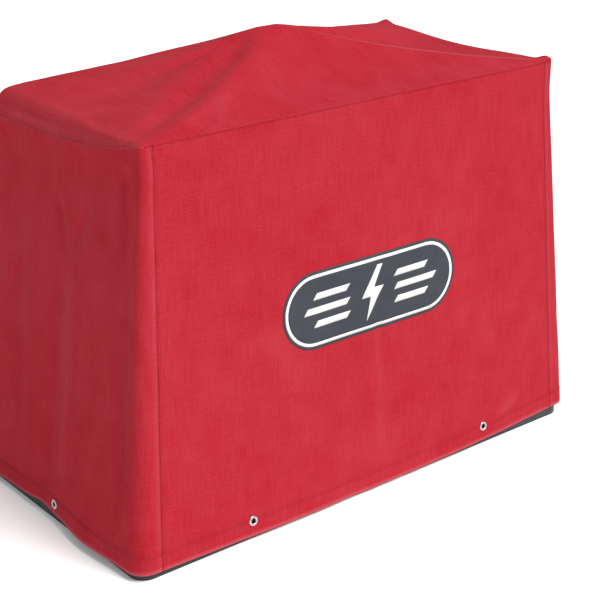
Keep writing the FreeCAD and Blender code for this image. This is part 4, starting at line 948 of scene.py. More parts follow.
@dataclass(frozen=True)
class Crease:
    """A fold along a straight line; depth is inwards, and a negative one is a ridge."""

    start: tuple[float, float]
    end: tuple[float, float]
    depth: float
    width: float

    def at(self, u: float, v: float) -> float:
        """Returns how far the cloth is pressed in at a place on the wall.

        Args:
            u: Place along the wall, or x on the top.
            v: Height on the wall, or y on the top.

        Returns:
            The depth there, in metres.
        """
        ax, ay = self.start
        dx, dy = self.end[0] - ax, self.end[1] - ay
        length = math.hypot(dx, dy)
        t = ((u - ax) * dx + (v - ay) * dy) / (length * length)
        across = abs((u - ax) * dy - (v - ay) * dx) / length
        if across > 4.0 * self.width or not -0.5 < t < 1.5:
            return 0.0
        fade = smooth(-0.15, 0.25, t) * (1.0 - smooth(0.75, 1.15, t))
        return self.depth * fade * hump(across, self.width)


@dataclass(frozen=True)
class Place:
    """One sample round the cover: a share of a wall's straight, or an angle of the corner after it."""

    side: Side
    share: float
    turn: float

    @property
    def outward(self) -> Vector:
        """Returns the horizontal direction out of the cloth here."""
        return self.side.outward * math.cos(self.turn) + self.side.along * math.sin(self.turn)

    @property
    def straight(self) -> bool:
        """Tells whether this is on a wall and not on a corner."""
        return self.turn == 0.0


@dataclass(frozen=True)
class Ripple:
    """One size of soft unevenness in the cloth; heights are in millimetres.

    It grows with the share given to it: by a power, or by a smooth step over fade when that is set.
    """

    long_wall: float
    end_wall: float
    squash: float
    size: float
    seed: float
    power: float = 1.0
    fade: float = 0.0

    def at(self, x: float, y: float, z: float, end: float, share: float) -> float:
        """Returns the ripple's height.

        Args:
            x, y, z: The place, in metres.
            end: 1 on an end wall and 0 on a long one.
            share: 0 where the ripple starts and 1 where it is full.

        Returns:
            The height there, in metres.
        """
        height = mix(self.long_wall, self.end_wall, end) * MM
        grown = smooth(0.0, self.fade, share) if self.fade else share ** self.power
        return height * grown * wave(x, y, z * self.squash, self.size, self.seed)


@dataclass(frozen=True)
class ToneLine:
    """A line of painted shade (below 0) or painted highlight (above 0) along a seam or an edge."""

    depth: float
    offset: float
    width: float

    def at(self, away: float) -> float:
        """Returns the tone at a distance from the seam."""
        return self.depth * hump(away - self.offset, self.width)


# Painted shade under the hem's step and a painted highlight on its folded edge; painted shade in the long
# walls' rim seam and a painted highlight on the rim's roll elsewhere; painted shade in the corner seams'
# grooves and a painted highlight on their flaps.
HEM_ROW = ToneLine(-0.3, 0.0, 1.6 * MM)
HEM_FOLD = ToneLine(0.55, 0.0, 2.5 * MM)
RIM_SEAM = ToneLine(-0.8, 1.2 * MM, 1.1 * MM)
RIM_ROLL = ToneLine(0.18, 1.2 * MM, 1.1 * MM)
SEAM_GROOVE = ToneLine(-0.9, 0.0, 1.1 * MM)
SEAM_FLAP = ToneLine(0.10, -3.0 * MM, 1.2 * MM)


@dataclass
class CoverShape:
    """The draped cover as a function: where each point of the cloth lies."""

    corner: float = 10.0 * MM
    hem_corner: float = 36.0 * MM
    straight_top: float = 0.08
    edge: float = 2.5 * MM
    hem_band: float = 33.0 * MM
    hem_step: float = 0.8 * MM
    seam_inset: float = 14.0 * MM
    seam_depth: float = 0.9 * MM
    seam_width: float = 1.4 * MM
    roof_roll: float = 40.0 * MM
    clear: float = 2.0 * MM
    hull_margin: float = 5.0 * MM
    hem_lift: float = 6.0 * MM
    hem_lift_share: float = -0.22
    hem_lift_reach: float = 0.16
    rim_bow: float = 38.0
    rim_drop_reach: float = 9.0
    rim_roll_share: float = 0.6
    rim_roll_least: float = 10.0 * MM
    pull_depth: float = 2.2 * MM
    pull_lean: float = 0.55
    pull_start: float = 18.0 * MM
    pull_width: float = 16.0 * MM
    pull_length: float = 110.0 * MM
    # Painted highlight on the front hip ridges and on the left end's rolled edge.
    ridge_highlight: float = 0.34
    ridge_width: float = 0.22
    end_roll_highlight: float = 0.035
    wall_ripples: tuple = (
        Ripple(1.6, 3.4, 0.35, 0.20, 3.1, power=0.6), Ripple(0.9, 1.6, 0.7, 0.085, 7.7, fade=0.12),
        Ripple(0.45, 0.45, 1.0, 0.030, 1.9, fade=0.05), Ripple(2.0, 7.0, 0.0, 0.11, 5.3, power=5.0))
    top_ripples: tuple = (
        Ripple(2.6, 2.6, 0.0, 0.13, 4.4), Ripple(0.9, 0.9, 0.0, 0.045, 9.2, power=0.5))
    hem_bulges: tuple = ((6.0, -0.135, 0.085, 7), (-4.0, -0.02, 0.05, 6))
    hem_heights: dict = field(default_factory=lambda: {
        Side.FRONT: (15.0, 6.0, 25.0), Side.RIGHT: (25.0, 14.0, 15.0),
        Side.BACK: (15.0, 6.0, 12.0), Side.LEFT: (12.0, 19.0, 15.0)})
    facet_sag: dict = field(default_factory=lambda: {
        Side.FRONT: 6.0, Side.RIGHT: 44.0, Side.BACK: 0.0, Side.LEFT: 8.0})
    hip_sag: dict = field(default_factory=lambda: {
        Side.FRONT: 12.0, Side.RIGHT: 2.0, Side.BACK: 0.0, Side.LEFT: 6.0})
    hip_round: dict = field(default_factory=lambda: {
        Side.FRONT: 4.0, Side.RIGHT: 40.0, Side.BACK: 60.0, Side.LEFT: 75.0})
    corner_drop: dict = field(default_factory=lambda: {
        Side.FRONT: 0.0, Side.RIGHT: 8.0, Side.BACK: 42.0, Side.LEFT: 0.0})
    ears: tuple = ((0.474, -0.226, 9.0, 13.0), (0.470, 0.232, 7.0, 16.0), (-0.470, -0.228, 3.0, 16.0))
    creases: dict = field(default_factory=lambda: {
        Side.LEFT: (
            Crease((-0.003, 0.50), (-0.041, 0.02), 8.0 * MM, 22.0 * MM),
            Crease((-0.022, 0.62), (0.010, 0.53), 7.0 * MM, 12.0 * MM),
            Crease((0.088, 0.63), (0.043, 0.55), 6.0 * MM, 12.0 * MM),
            Crease((0.194, 0.75), (0.196, 0.56), 7.0 * MM, 13.0 * MM),
            Crease((0.215, 0.56), (0.212, 0.10), 5.0 * MM, 18.0 * MM),
            Crease((-0.150, 0.60), (-0.140, 0.10), 6.0 * MM, 28.0 * MM)),
        Side.FRONT: (
            Crease((0.014, 0.44), (0.022, 0.03), 1.6 * MM, 9.0 * MM),
            Crease((0.320, 0.035), (0.392, 0.085), -4.0 * MM, 13.0 * MM),
            Crease((-0.360, 0.55), (-0.330, 0.10), 2.0 * MM, 30.0 * MM),
            Crease((0.300, 0.60), (0.330, 0.15), 2.0 * MM, 34.0 * MM)),
        Side.RIGHT: (
            Crease((-0.080, 0.60), (-0.060, 0.05), 4.0 * MM, 26.0 * MM),
            Crease((0.120, 0.66), (0.090, 0.12), 4.0 * MM, 22.0 * MM),
            Crease((-0.190, 0.74), (-0.185, 0.52), 4.0 * MM, 13.0 * MM)),
        Side.BACK: (
            Crease((0.200, 0.62), (0.170, 0.10), 3.0 * MM, 30.0 * MM),
            Crease((-0.260, 0.50), (-0.230, 0.05), 3.0 * MM, 26.0 * MM),
            Crease((-0.030, 0.40), (-0.020, 0.03), 2.0 * MM, 16.0 * MM))})
    top_creases: tuple = (
        Crease((-0.085, -0.005), (-0.430, -0.185), 11.0 * MM, 17.0 * MM),
        Crease((-0.110, -0.060), (-0.400, -0.225), -5.0 * MM, 15.0 * MM),
        Crease((-0.235, -0.140), (-0.340, -0.245), -2.6 * MM, 6.0 * MM),
        Crease((-0.440, -0.035), (-0.490, -0.165), 4.0 * MM, 10.0 * MM),
        Crease((0.060, 0.030), (0.400, 0.190), 6.0 * MM, 18.0 * MM),
        Crease((0.250, -0.060), (0.440, -0.080), 4.0 * MM, 22.0 * MM),
        Crease((-0.110, 0.030), (-0.400, 0.180), 6.0 * MM, 20.0 * MM))
    # Painted highlights (above 0) and painted shade (below 0) along folds of the top, the left end and the
    # front.
    top_fold_shading: tuple = (
        Crease((-0.120, -0.045), (-0.400, -0.205), 0.07, 14.0 * MM),
        Crease((-0.235, -0.140), (-0.330, -0.240), 0.05, 11.0 * MM))
    end_fold_shading: tuple = (
        Crease((0.030, 0.50), (0.020, 0.08), 0.07, 12.0 * MM),
        Crease((0.215, 0.60), (0.212, 0.10), -0.14, 12.0 * MM))
    front_fold_shading: tuple = (
        Crease((0.014, 0.44), (0.022, 0.03), 0.05, 11.0 * MM),
        Crease((0.330, 0.045), (0.392, 0.088), 0.08, 12.0 * MM),
        Crease((-0.250, 0.40), (-0.150, 0.26), 0.04, 26.0 * MM))

    def __post_init__(self) -> None:
        """Reads the cover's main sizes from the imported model."""
        low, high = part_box("cover_front_wall")
        _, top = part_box("cover_top_panel")
        self.hem = Vector((high.x, -low.y, low.z))
        self.rim = Vector((top.x, top.y, high.z))
        eye_low, eye_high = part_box("lift_frame")
        self.apex = Vector(((eye_low.x + eye_high.x) / 2.0, 0.0, top.z))
        self.apex_half = Vector((28.0 * MM, 9.0 * MM, 0.0))
        self.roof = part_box("roof_panel")[1]
        hidden = ("base_deck", "roof_panel", "side_panel_left", "side_panel_right", "service_door_left",
                  "service_door_right", "door_latch_left", "door_latch_right", "door_hinges", "muffler")
        self.obstacles = [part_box(name) for name in hidden]
        self.height = self.rim.z - self.hem.z

    def places(self, straight: dict[Side, int], arc: int) -> list[Place]:
        """Returns the samples round the cover.

        Args:
            straight: Number of steps along each wall.
            arc: Number of steps round each corner.

        Returns:
            The samples, in order round the cover.
        """
        found = []
        for side in Side:
            count = straight[side]
            shares = [2.0 * i / count - 1.0 for i in range(count + 1)]
            half = (self.rim.x if side.long else self.rim.y) - self.corner
            if side.long:
                seam = 1.0 - self.seam_inset / half
                near = [k * (seam + d * MM / half) for k in (-1, 1) for d in (-3.0, -1.2, 0.0, 1.2, 3.0)]
                shares = [s for s in shares if all(abs(s - n) > 2.0 * MM / half for n in near)] + near
            found += [Place(side, s, 0.0) for s in sorted(shares)]
            found += [Place(side, 1.0, math.pi / 2.0 * (i + 1) / (arc + 1)) for i in range(arc)]
        return found

    def ring(self, place: Place, half_x: float, half_y: float, radii: dict, centre_x: float = 0.0) -> Vector:
        """Returns the sample's place on a rounded rectangle, at height 0.

        Args:
            place: Where it is round the cover.
            half_x, half_y: Half sizes of the rectangle.
            radii: Radius of the corner after each side.
            centre_x: Middle of the rectangle.

        Returns:
            The place, in metres.
        """
        side = place.side
        long, out = (half_x, half_y) if side.long else (half_y, half_x)
        before, after = radii[side.before], radii[side]
        n, t = side.outward, side.along
        run = mix(before - long, long - after, (place.share + 1.0) / 2.0)
        point = n * (out - after) + t * run + place.outward * after
        return point + Vector((centre_x, 0.0, 0.0))

    def three_way(self, place: Place, values: tuple[float, float, float]) -> float:
        """Returns a smooth curve through a value at each end and the middle of a wall.

        Args:
            place: Where it is along the wall.
            values: Value at the start, the middle and the end.

        Returns:
            The curve's value.
        """
        start, middle, end = values
        share = place.share * place.share
        return middle + ((end if place.share > 0 else start) - middle) * share

    def rim_drop(self, place: Place) -> float:
        """Returns how far the seam between wall and top hangs below its nominal height.

        Args:
            place: Where it is round the cover.

        Returns:
            The drop, in metres.
        """
        after, before = self.corner_drop[place.side], self.corner_drop[place.side.before]
        if not place.straight:
            return after * MM
        p = (place.share + 1.0) / 2.0
        if place.side is Side.LEFT:
            return mix(before, after, p ** 3) * MM
        if place.side is Side.RIGHT:
            return (mix(before, after, p) + self.rim_bow * (1.0 - place.share ** 2) ** 0.8) * MM
        reach = self.rim_drop_reach
        return (before * hump(reach * p, 1.0) + after * hump(reach * (1.0 - p), 1.0)) * MM

    def rim_height(self, place: Place) -> float:
        """Returns the height of the seam between wall and top."""
        return self.rim.z - self.rim_drop(place)

    def ear(self, x: float, y: float, z: float) -> float:
        """Returns the lift of the dog-ears at the top corners.

        Args:
            x, y, z: The place, in metres.

        Returns:
            The lift, in metres.
        """
        lift = 0.0
        for ear_x, ear_y, size, reach in self.ears:
            away = math.sqrt((x - ear_x) ** 2 + (y - ear_y) ** 2 + (z - self.rim.z) ** 2)
            lift += size * MM * hump(away, reach * MM)
        return lift

    def hull_reach(self, point: Vector, n: Vector, z: float) -> float:
        """Returns how far out, along n, the machine reaches beside a point of a wall.

        Args:
            point: A point of the wall, at any height.
            n: The wall's outward direction.
            z: The height that matters.

        Returns:
            The distance from the middle, in metres, or 0 where nothing stands.
        """
        margin, reach = self.hull_margin, 0.0
        for low, high in self.obstacles:
            if not low.z - margin < z < high.z + margin:
                continue
            if abs(n.y) > 0.5 and low.x - margin < point.x < high.x + margin:
                reach = max(reach, high.y if n.y > 0.0 else -low.y)
            if abs(n.x) > 0.5 and low.y - margin < point.y < high.y + margin:
                reach = max(reach, high.x if n.x > 0.0 else -low.x)
        return reach

    def on_wall(self, place: Place, climb: float, proud: float = 0.0) -> Vector:
        """Returns a point of the cloth on the walls.

        Args:
            place: Where it is round the cover.
            climb: 0 at the hem and 1 at the rim.
            proud: How far the point stands off the cloth.

        Returns:
            The point, in metres.
        """
        hem_z = self.three_way(place, self.hem_heights[place.side]) * MM
        if place.side is Side.LEFT and place.straight:
            hem_z += self.hem_lift * hump(place.share - self.hem_lift_share, self.hem_lift_reach)
        rim_z = self.rim_height(place)
        z = mix(hem_z, rim_z, climb)
        fall = max(0.0, (1.0 - climb) - self.straight_top) / (1.0 - self.straight_top)
        half_x, half_y = mix(self.rim.x, self.hem.x, fall), mix(self.rim.y, self.hem.y, fall)
        radius = mix(self.corner, self.hem_corner, fall)
        point = self.ring(place, half_x, half_y, dict.fromkeys(Side, radius))
        n = place.outward
        swell = self.wall_swell(place, point, z, climb)
        above = (1.0 - climb) * self.height
        if above < self.edge:
            swell -= self.edge - math.sqrt(max(0.0, self.edge ** 2 - (self.edge - above) ** 2))
        if place.straight:
            least = self.hull_reach(point, n, z) + self.clear
            swell = soft_max(swell, least - point.dot(n), 1.0 * MM)
        else:
            swell = max(swell, 0.0)
        return point + n * (swell + proud) + Vector((0.0, 0.0, z + self.ear(point.x, point.y, z)))

    def wall_swell(self, place: Place, point: Vector, z: float, climb: float) -> float:
        """Returns how far the cloth stands out from the wall's plain taper.

        Args:
            place: Where it is round the cover.
            point: The same place on the plain taper.
            z: Its height.
            climb: 0 at the hem and 1 at the rim.

        Returns:
            The distance, in metres.
        """
        x, y = point.x, point.y
        end = abs(place.outward.x)
        low = 1.0 - climb
        swell = sum(ripple.at(x, y, z, end, low) for ripple in self.wall_ripples)
        if place.side is Side.LEFT:
            swell += sum(size * MM * hump(y - middle, reach) * low ** power
                         for size, middle, reach, power in self.hem_bulges)
        if place.straight:
            u = point.dot(place.side.along)
            edge_fade = 1.0 - smooth(0.9, 1.0, abs(place.share))
            for crease in self.creases[place.side]:
                swell -= crease.at(u, z) * edge_fade
        swell -= self.corner_pull(place, low)
        if place.side.long and place.straight:
            swell -= self.seam_depth * hump(self.past_seam(place), self.seam_width)
        height = climb * self.height
        swell += self.hem_step * (1.0 - smooth(self.hem_band - 1.0 * MM, self.hem_band + 1.0 * MM, height))
        return swell

    def past_seam(self, place: Place) -> float:
        """Returns how far a place on a long wall lies inwards of the wall's corner seam."""
        return (1.0 - abs(place.share)) * (self.rim.x - self.corner) - self.seam_inset

    def corner_pull(self, place: Place, low: float) -> float:
        """Returns the hollow below a top corner, where the dog-ear draws the cloth.

        Args:
            place: Where it is round the cover.
            low: 0 at the rim and 1 at the hem.

        Returns:
            The hollow's depth, in metres.
        """
        if not place.straight:
            return 0.0
        across = (1.0 - abs(place.share)) * (self.rim.x if place.side.long else self.rim.y)
        down = low * self.height
        ray = hump(across - self.pull_lean * down - self.pull_start, self.pull_width)
        return self.pull_depth * ray * math.exp(-down / self.pull_length) * smooth(0.0, 0.02, low)

    def wall_tone(self, place: Place, climb: float) -> float:
        """Returns -1 for painted shade in seam grooves, under the hem's step and in creases, and up to 1 for
        painted highlights on the hem's fold, rolled edges, seam flaps and ridges.

        Args:
            place: Where it is round the cover.
            climb: 0 at the hem and 1 at the rim.

        Returns:
            The tone, from -1 to 1.
        """
        height, above = climb * self.height, (1.0 - climb) * self.height
        long_wall = place.side.long and place.straight
        tone = HEM_ROW.at(height - self.hem_band) + HEM_FOLD.at(height)
        tone += (RIM_SEAM if long_wall else RIM_ROLL).at(above)
        fold_shading = {Side.LEFT: self.end_fold_shading, Side.FRONT: self.front_fold_shading}.get(place.side, ())
        point = self.on_wall(place, climb)
        u = point.dot(place.side.along)
        tone += sum(fold_mark.at(u, point.z) for fold_mark in fold_shading) * place.straight
        if long_wall:
            tone += SEAM_GROOVE.at(self.past_seam(place)) + SEAM_FLAP.at(self.past_seam(place))
        return max(-1.0, min(1.0, tone))

    def top_tone(self, place: Place, inward: float) -> float:
        """Returns the same for the top: painted shade along its front and back edges, and painted highlights
        on its front hip ridges, end edges and folds.

        Args:
            place: Where it is round the cover.
            inward: 0 at the rim and 1 at the peak.

        Returns:
            The tone, up to 1.
        """
        if not place.straight:
            middle = hump(place.turn - math.pi / 4.0, self.ridge_width)
            fade = smooth(0.0, 0.1, inward) * (1.0 - 0.6 * smooth(0.55, 0.95, inward))
            return self.ridge_highlight * middle * fade * (place.side is Side.FRONT)
        point = self.on_top(place, inward)
        fold_shading = sum(fold_mark.at(point.x, point.y) for fold_mark in self.top_fold_shading)
        edge = 1.0 - smooth(0.0, 0.008, inward)
        end_roll = self.end_roll_highlight * (1.0 - smooth(0.04, 0.10, inward)) * (place.side is Side.LEFT)
        return min(1.0, fold_shading + (-0.5 if place.side.long else 0.12) * edge + end_roll)

    def on_top(self, place: Place, inward: float) -> Vector:
        """Returns a point of the cloth on the top panel; inward is 0 at the rim and 1 at the peak.

        Args:
            place: Where it is round the cover.
            inward: 0 at the rim and 1 at the peak.

        Returns:
            The point, in metres.
        """
        bow = math.sin(math.pi * min(1.0, inward))
        radii = {side: mix(self.corner, 0.9 * self.apex_half.y, inward) + self.hip_round[side] * MM * bow
                 for side in Side}
        point = self.ring(place, mix(self.rim.x, self.apex_half.x, inward),
                          mix(self.rim.y, self.apex_half.y, inward), radii, self.apex.x * inward)
        x, y = point.x, point.y
        drop = self.rim_drop(place)
        n = place.outward
        run_x, run_y = self.rim.x - self.apex_half.x, self.rim.y - self.apex_half.y
        away = inward * (abs(n.x) * run_x + abs(n.y) * run_y)
        z = mix(self.rim.z, self.apex.z, inward)
        if drop > 0.0:
            rolled = min(1.0, away / max(self.rim_roll_share * drop, self.rim_roll_least))
            z -= drop * (1.0 - math.sqrt(1.0 - (1.0 - rolled) ** 2))
        middle = math.cos(place.share * math.pi / 2.0) ** 2 if place.straight else 0.0
        before, after = self.hip_sag[place.side.before], self.hip_sag[place.side]
        hip = mix(before, after, (place.share + 1.0) / 2.0) if place.straight else after
        z -= (hip + self.facet_sag[place.side] * middle) * MM * bow
        z += sum(ripple.at(x, y, 0.0, 0.0, bow) for ripple in self.top_ripples)
        for crease in self.top_creases:
            z -= crease.at(x, y) * smooth(0.0, 0.06, inward) * (1.0 - smooth(0.86, 1.0, inward))
        z = soft_max(z, self.roof_surface(x), 4.0 * MM * smooth(0.0, 0.05, inward))
        tuck = self.edge * (1.0 - smooth(0.0, 0.02, inward)) * (1.0 - smooth(4.0 * MM, 14.0 * MM, drop))
        return Vector((x, y, z + self.ear(x, y, z))) - n * tuck

    def roof_surface(self, x: float) -> float:
        """Returns the lowest that the cloth can lie on the case's roof, with its rolled ends.

        Args:
            x: Place along the machine.

        Returns:
            The height, in metres.
        """
        past = abs(x) - (self.roof.x - self.roof_roll)
        if past <= 0.0:
            return self.roof.z + self.clear
        reach = self.roof_roll + self.clear
        return self.roof.z - self.roof_roll + math.sqrt(max(0.0, reach * reach - past * past))


# ------------------------------------------------------------------ the cover's pieces
@dataclass
class CanvasCover:
    """The fitted canvas cover: cloth, stitches, eyelets and printed emblem."""

    shape: CoverShape = field(default_factory=CoverShape)
    thick: float = 1.2 * MM
    stitch_pitch: float = 4.4 * MM
    thread: float = 0.42 * MM
    eyelet_r: float = 9.5 * MM
    eyelet_bore: float = 4.8 * MM
    eyelet_height: float = 30.0 * MM
    end_eyelet_height: float = 20.0 * MM
    eyelet_x: float = 295.0 * MM
    punch_slack: float = 0.6 * MM
    punch_reach: float = 12.0 * MM
    peak_lift: float = 0.3 * MM
    stitch_proud: float = 0.15 * MM
    stitch_inset: float = 2.6 * MM
    seam_to_stitch: float = 5.0 * MM
    steps: dict = field(default_factory=lambda: {
        Side.FRONT: 92, Side.RIGHT: 50, Side.BACK: 92, Side.LEFT: 50})

    def build(self) -> None:
        cloth = self.cloth()
        rings = self.eyelets()
        stitches = self.stitches()
        printed = Emblem(self.shape).build()
        for piece in (cloth, rings, stitches, *printed):
            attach(piece, COVER)
        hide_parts("cover_front_wall", "cover_back_wall", "cover_left_end", "cover_right_end",
                    "cover_top_panel")
        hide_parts("cover_grommets")

    def climbs(self) -> list[float]:
        """Returns the rows of the walls, closer together at the hem's fold and at the rim.

        Returns:
            The share of the wall's height of each row.
        """
        height = self.shape.height
        band = self.shape.hem_band
        low = [0.0, 2.0 * MM, 9.0 * MM, 17.0 * MM, 25.0 * MM, band - 1.5 * MM, band - 0.6 * MM,
               band + 0.6 * MM, band + 1.5 * MM]
        top = [height - d * MM for d in (16.0, 11.0, 7.5, 5.0, 3.8, 2.6, 1.6, 0.8, 0.25, 0.0)]
        middle = np.linspace(low[-1], top[0], 68)[1:-1]
        return [z / height for z in (*low, *middle, *top)]

    def cloth(self) -> bpy.types.Object:
        """Builds the sewn cloth as one closed thin shell.

        Returns:
            The cloth.
        """
        shape = self.shape
        places = shape.places(self.steps, 6)
        rows = [lambda p, c=c: shape.on_wall(p, c) for c in self.climbs()]
        inward = [0.004, 0.009, 0.016, 0.025, 0.036, 0.049, 0.064, 0.081, *np.linspace(0.1, 1.0, 32)]
        rows += [lambda p, q=q: shape.on_top(p, q) for q in inward]
        count = len(places)
        points = [row(p) for row in rows for p in places]
        starts = [(r * count, (r + 1) * count) for r in range(len(rows) - 1)]
        faces = [(low + i, low + (i + 1) % count, high + (i + 1) % count, high + i)
                 for low, high in starts for i in range(count)]
        peak = len(points)
        points.append(Vector((shape.apex.x, 0.0, shape.apex.z + self.peak_lift)))
        last = (len(rows) - 1) * count
        faces += [(last + i, last + (i + 1) % count, peak) for i in range(count)]
        obj = mesh_object("cover_cloth", points, faces)
        tone = [shape.wall_tone(p, c) for c in self.climbs() for p in places]
        tone += [shape.top_tone(p, q) for q in inward for p in places] + [0.0]
        obj.data.attributes.new("tone", "FLOAT", "POINT").data.foreach_set("value", tone)
        self.weave_map(obj, places, len(self.climbs()))
        shell = obj.modifiers.new("cloth", "SOLIDIFY")
        shell.thickness, shell.offset = self.thick, -1.0
        bake_modifiers(obj)
        self.punch(obj)
        return dress(obj, CANVAS)

    def weave_map(self, obj: bpy.types.Object, places: list[Place], wall_rows: int) -> None:
        """Adds the thread coordinates in metres: round and up the walls, and across the top.

        Args:
            obj: The cloth's single surface.
            places: The samples round the cover.
            wall_rows: How many rows of points the walls have.
        """
        layer = obj.data.uv_layers.new(name=Coordinates.CLOTH.value)
        count = len(places)
        hem = [self.shape.on_wall(p, 0.0) for p in places]
        round_it = [0.0]
        for a, b in zip(hem, hem[1:] + hem[:1]):
            round_it.append(round_it[-1] + (b - a).length)
        for polygon in obj.data.polygons:
            row = min(polygon.vertices) // count
            for loop in polygon.loop_indices:
                vertex = obj.data.loops[loop].vertex_index
                point = obj.data.vertices[vertex].co
                if row < wall_rows - 1:
                    column = vertex % count
                    wraps = column == 0 and max(v % count for v in polygon.vertices) == count - 1
                    layer.data[loop].uv = (round_it[count if wraps else column], point.z)
                else:
                    layer.data[loop].uv = (point.x + 7.0, point.y + 3.0)

    def eyelet_places(self) -> list[tuple[Vector, Vector]]:
        """Returns the middle and the outward direction of each eyelet.

        Returns:
            A point and a direction for each.
        """
        shape, found = self.shape, []
        for side in Side:
            climb = (self.eyelet_height if side.long else self.end_eyelet_height) / shape.height
            half = (shape.hem.x if side.long else shape.hem.y) - shape.hem_corner
            for u in ((-self.eyelet_x, self.eyelet_x) if side.long else (0.0,)):
                point = shape.on_wall(Place(side, u / half, 0.0), climb)
                above = shape.on_wall(Place(side, u / half, 0.0), climb + 0.01)
                beside = shape.on_wall(Place(side, (u + 5.0 * MM) / half, 0.0), climb)
                found.append((point, (beside - point).cross(above - point).normalized()))
        return found

    def eyelets(self) -> bpy.types.Object:
        """Builds the rolled eyelets as one piece.

        Returns:
            The eyelets.
        """
        r, bore = self.eyelet_r, self.eyelet_bore
        lip, back = 1.3 * MM, -self.thick - 1.0 * MM
        profile = [(bore, back), (bore + 0.5 * MM, back - 0.3 * MM), (r - 0.4 * MM, back),
                   (r, back + 0.5 * MM), (r - 0.6 * MM, back + 0.8 * MM), (bore + 1.0 * MM, back + 0.9 * MM),
                   (bore + 1.0 * MM, 0.1 * MM), (r - 0.8 * MM, 0.1 * MM), (r, 0.25 * MM),
                   (r - 0.1 * MM, 0.7 * MM), (r - 1.2 * MM, 1.1 * MM), (bore + 2.4 * MM, lip),
                   (bore + 1.1 * MM, lip * 1.05), (bore + 0.3 * MM, 0.8 * MM), (bore, 0.2 * MM)]
        return self.at_eyelets(*lathe(profile, 48)).solid("cover_eyelets", EYELET)

    def at_eyelets(self, points: list[Vector], faces: list[tuple[int, ...]]) -> Gathered:
        """Sets a copy of a shape at every eyelet, its Z axis pointing out of the cloth.

        Args:
            points: The shape's points round the origin.
            faces: The shape's faces, by point number.

        Returns:
            The copies.
        """
        found = Gathered()
        for centre, outward in self.eyelet_places():
            turn = outward.to_track_quat("Z", "Y").to_matrix()
            found.add([centre + turn @ p for p in points], faces)
        return found

    def punch(self, cloth: bpy.types.Object) -> None:
        """Cuts the eyelets' holes through the hem.

        Args:
            cloth: The cloth, already thick.
        """
        r, steps = self.eyelet_bore + self.punch_slack, 24
        angles = [2.0 * math.pi * i / steps for i in range(steps)]
        points = [Vector((r * math.cos(a), r * math.sin(a), h)) for a in angles
                  for h in (-self.punch_reach, self.punch_reach)]
        faces = [(2 * i, 2 * ((i + 1) % steps), 2 * ((i + 1) % steps) + 1, 2 * i + 1) for i in range(steps)]
        faces += [tuple(2 * i for i in reversed(range(steps))), tuple(2 * i + 1 for i in range(steps))]
        pins = self.at_eyelets(points, faces)
        cutter = mesh_object("punch", pins.points, pins.faces)
        cut = cloth.modifiers.new("holes", "BOOLEAN")
        cut.operation, cut.object, cut.solver = "DIFFERENCE", cutter, "EXACT"
        bake_modifiers(cloth)
        bpy.data.objects.remove(cutter)

    def stitches(self) -> bpy.types.Object:
        """Builds the rows of stitches on the hem and the corner seams.

        Returns:
            The stitches.
        """
        shape, points, edges = self.shape, [], []
        proud = self.stitch_proud
        fine = shape.places({side: count * 3 for side, count in self.steps.items()}, 12)

        def add(line: list[Vector], closed: bool) -> None:
            """Adds one line of stitches.

            Args:
                line: The points of the line.
                closed: Whether it runs back to its start.
            """
            base = len(points)
            points.extend(line)
            edges.extend((base + i, base + i + 1) for i in range(len(line) - 1))
            if closed:
                edges.append((base + len(line) - 1, base))

        band = (shape.hem_band - self.stitch_inset) / shape.height
        add([shape.on_wall(p, band, proud) for p in fine], True)
        half = shape.rim.x - shape.corner
        seam = shape.seam_inset / half
        for side in (Side.FRONT, Side.BACK):
            for sign in (-1.0, 1.0):
                share = sign * (1.0 - seam - self.seam_to_stitch / half)
                add([shape.on_wall(Place(side, share, 0.0), mix(0.004, 0.985, i / 120.0), proud)
                     for i in range(121)], False)
        obj = wire_object("cover_stitches", points, edges)
        run_tool(obj, stitch_tool(), Pitch=self.stitch_pitch, Thread=self.thread, Stretch=3.6,
                 Material=THREAD.material())
        obj.data.polygons.foreach_set("use_smooth", [True] * len(obj.data.polygons))
        return obj


# ------------------------------------------------------------------ the printed emblem
Outline = list[tuple[float, float]]


def pill(width: float, height: float, radius: float, steps: int = 10) -> Outline:
    """Returns a rounded rectangle round the origin.

    Args:
        width: Full width.
        height: Full height.
        radius: Radius of its corners.
        steps: Steps round each corner.

    Returns:
        The outline.
    """
    points = []
    for sx, sy, start in ((1, 1, 0.0), (-1, 1, 0.5), (-1, -1, 1.0), (1, -1, 1.5)):
        cx, cy = sx * (width / 2.0 - radius), sy * (height / 2.0 - radius)
        for i in range(steps + 1):
            angle = math.pi * (start + 0.5 * i / steps)
            points.append((cx + radius * math.cos(angle), cy + radius * math.sin(angle)))
    return points


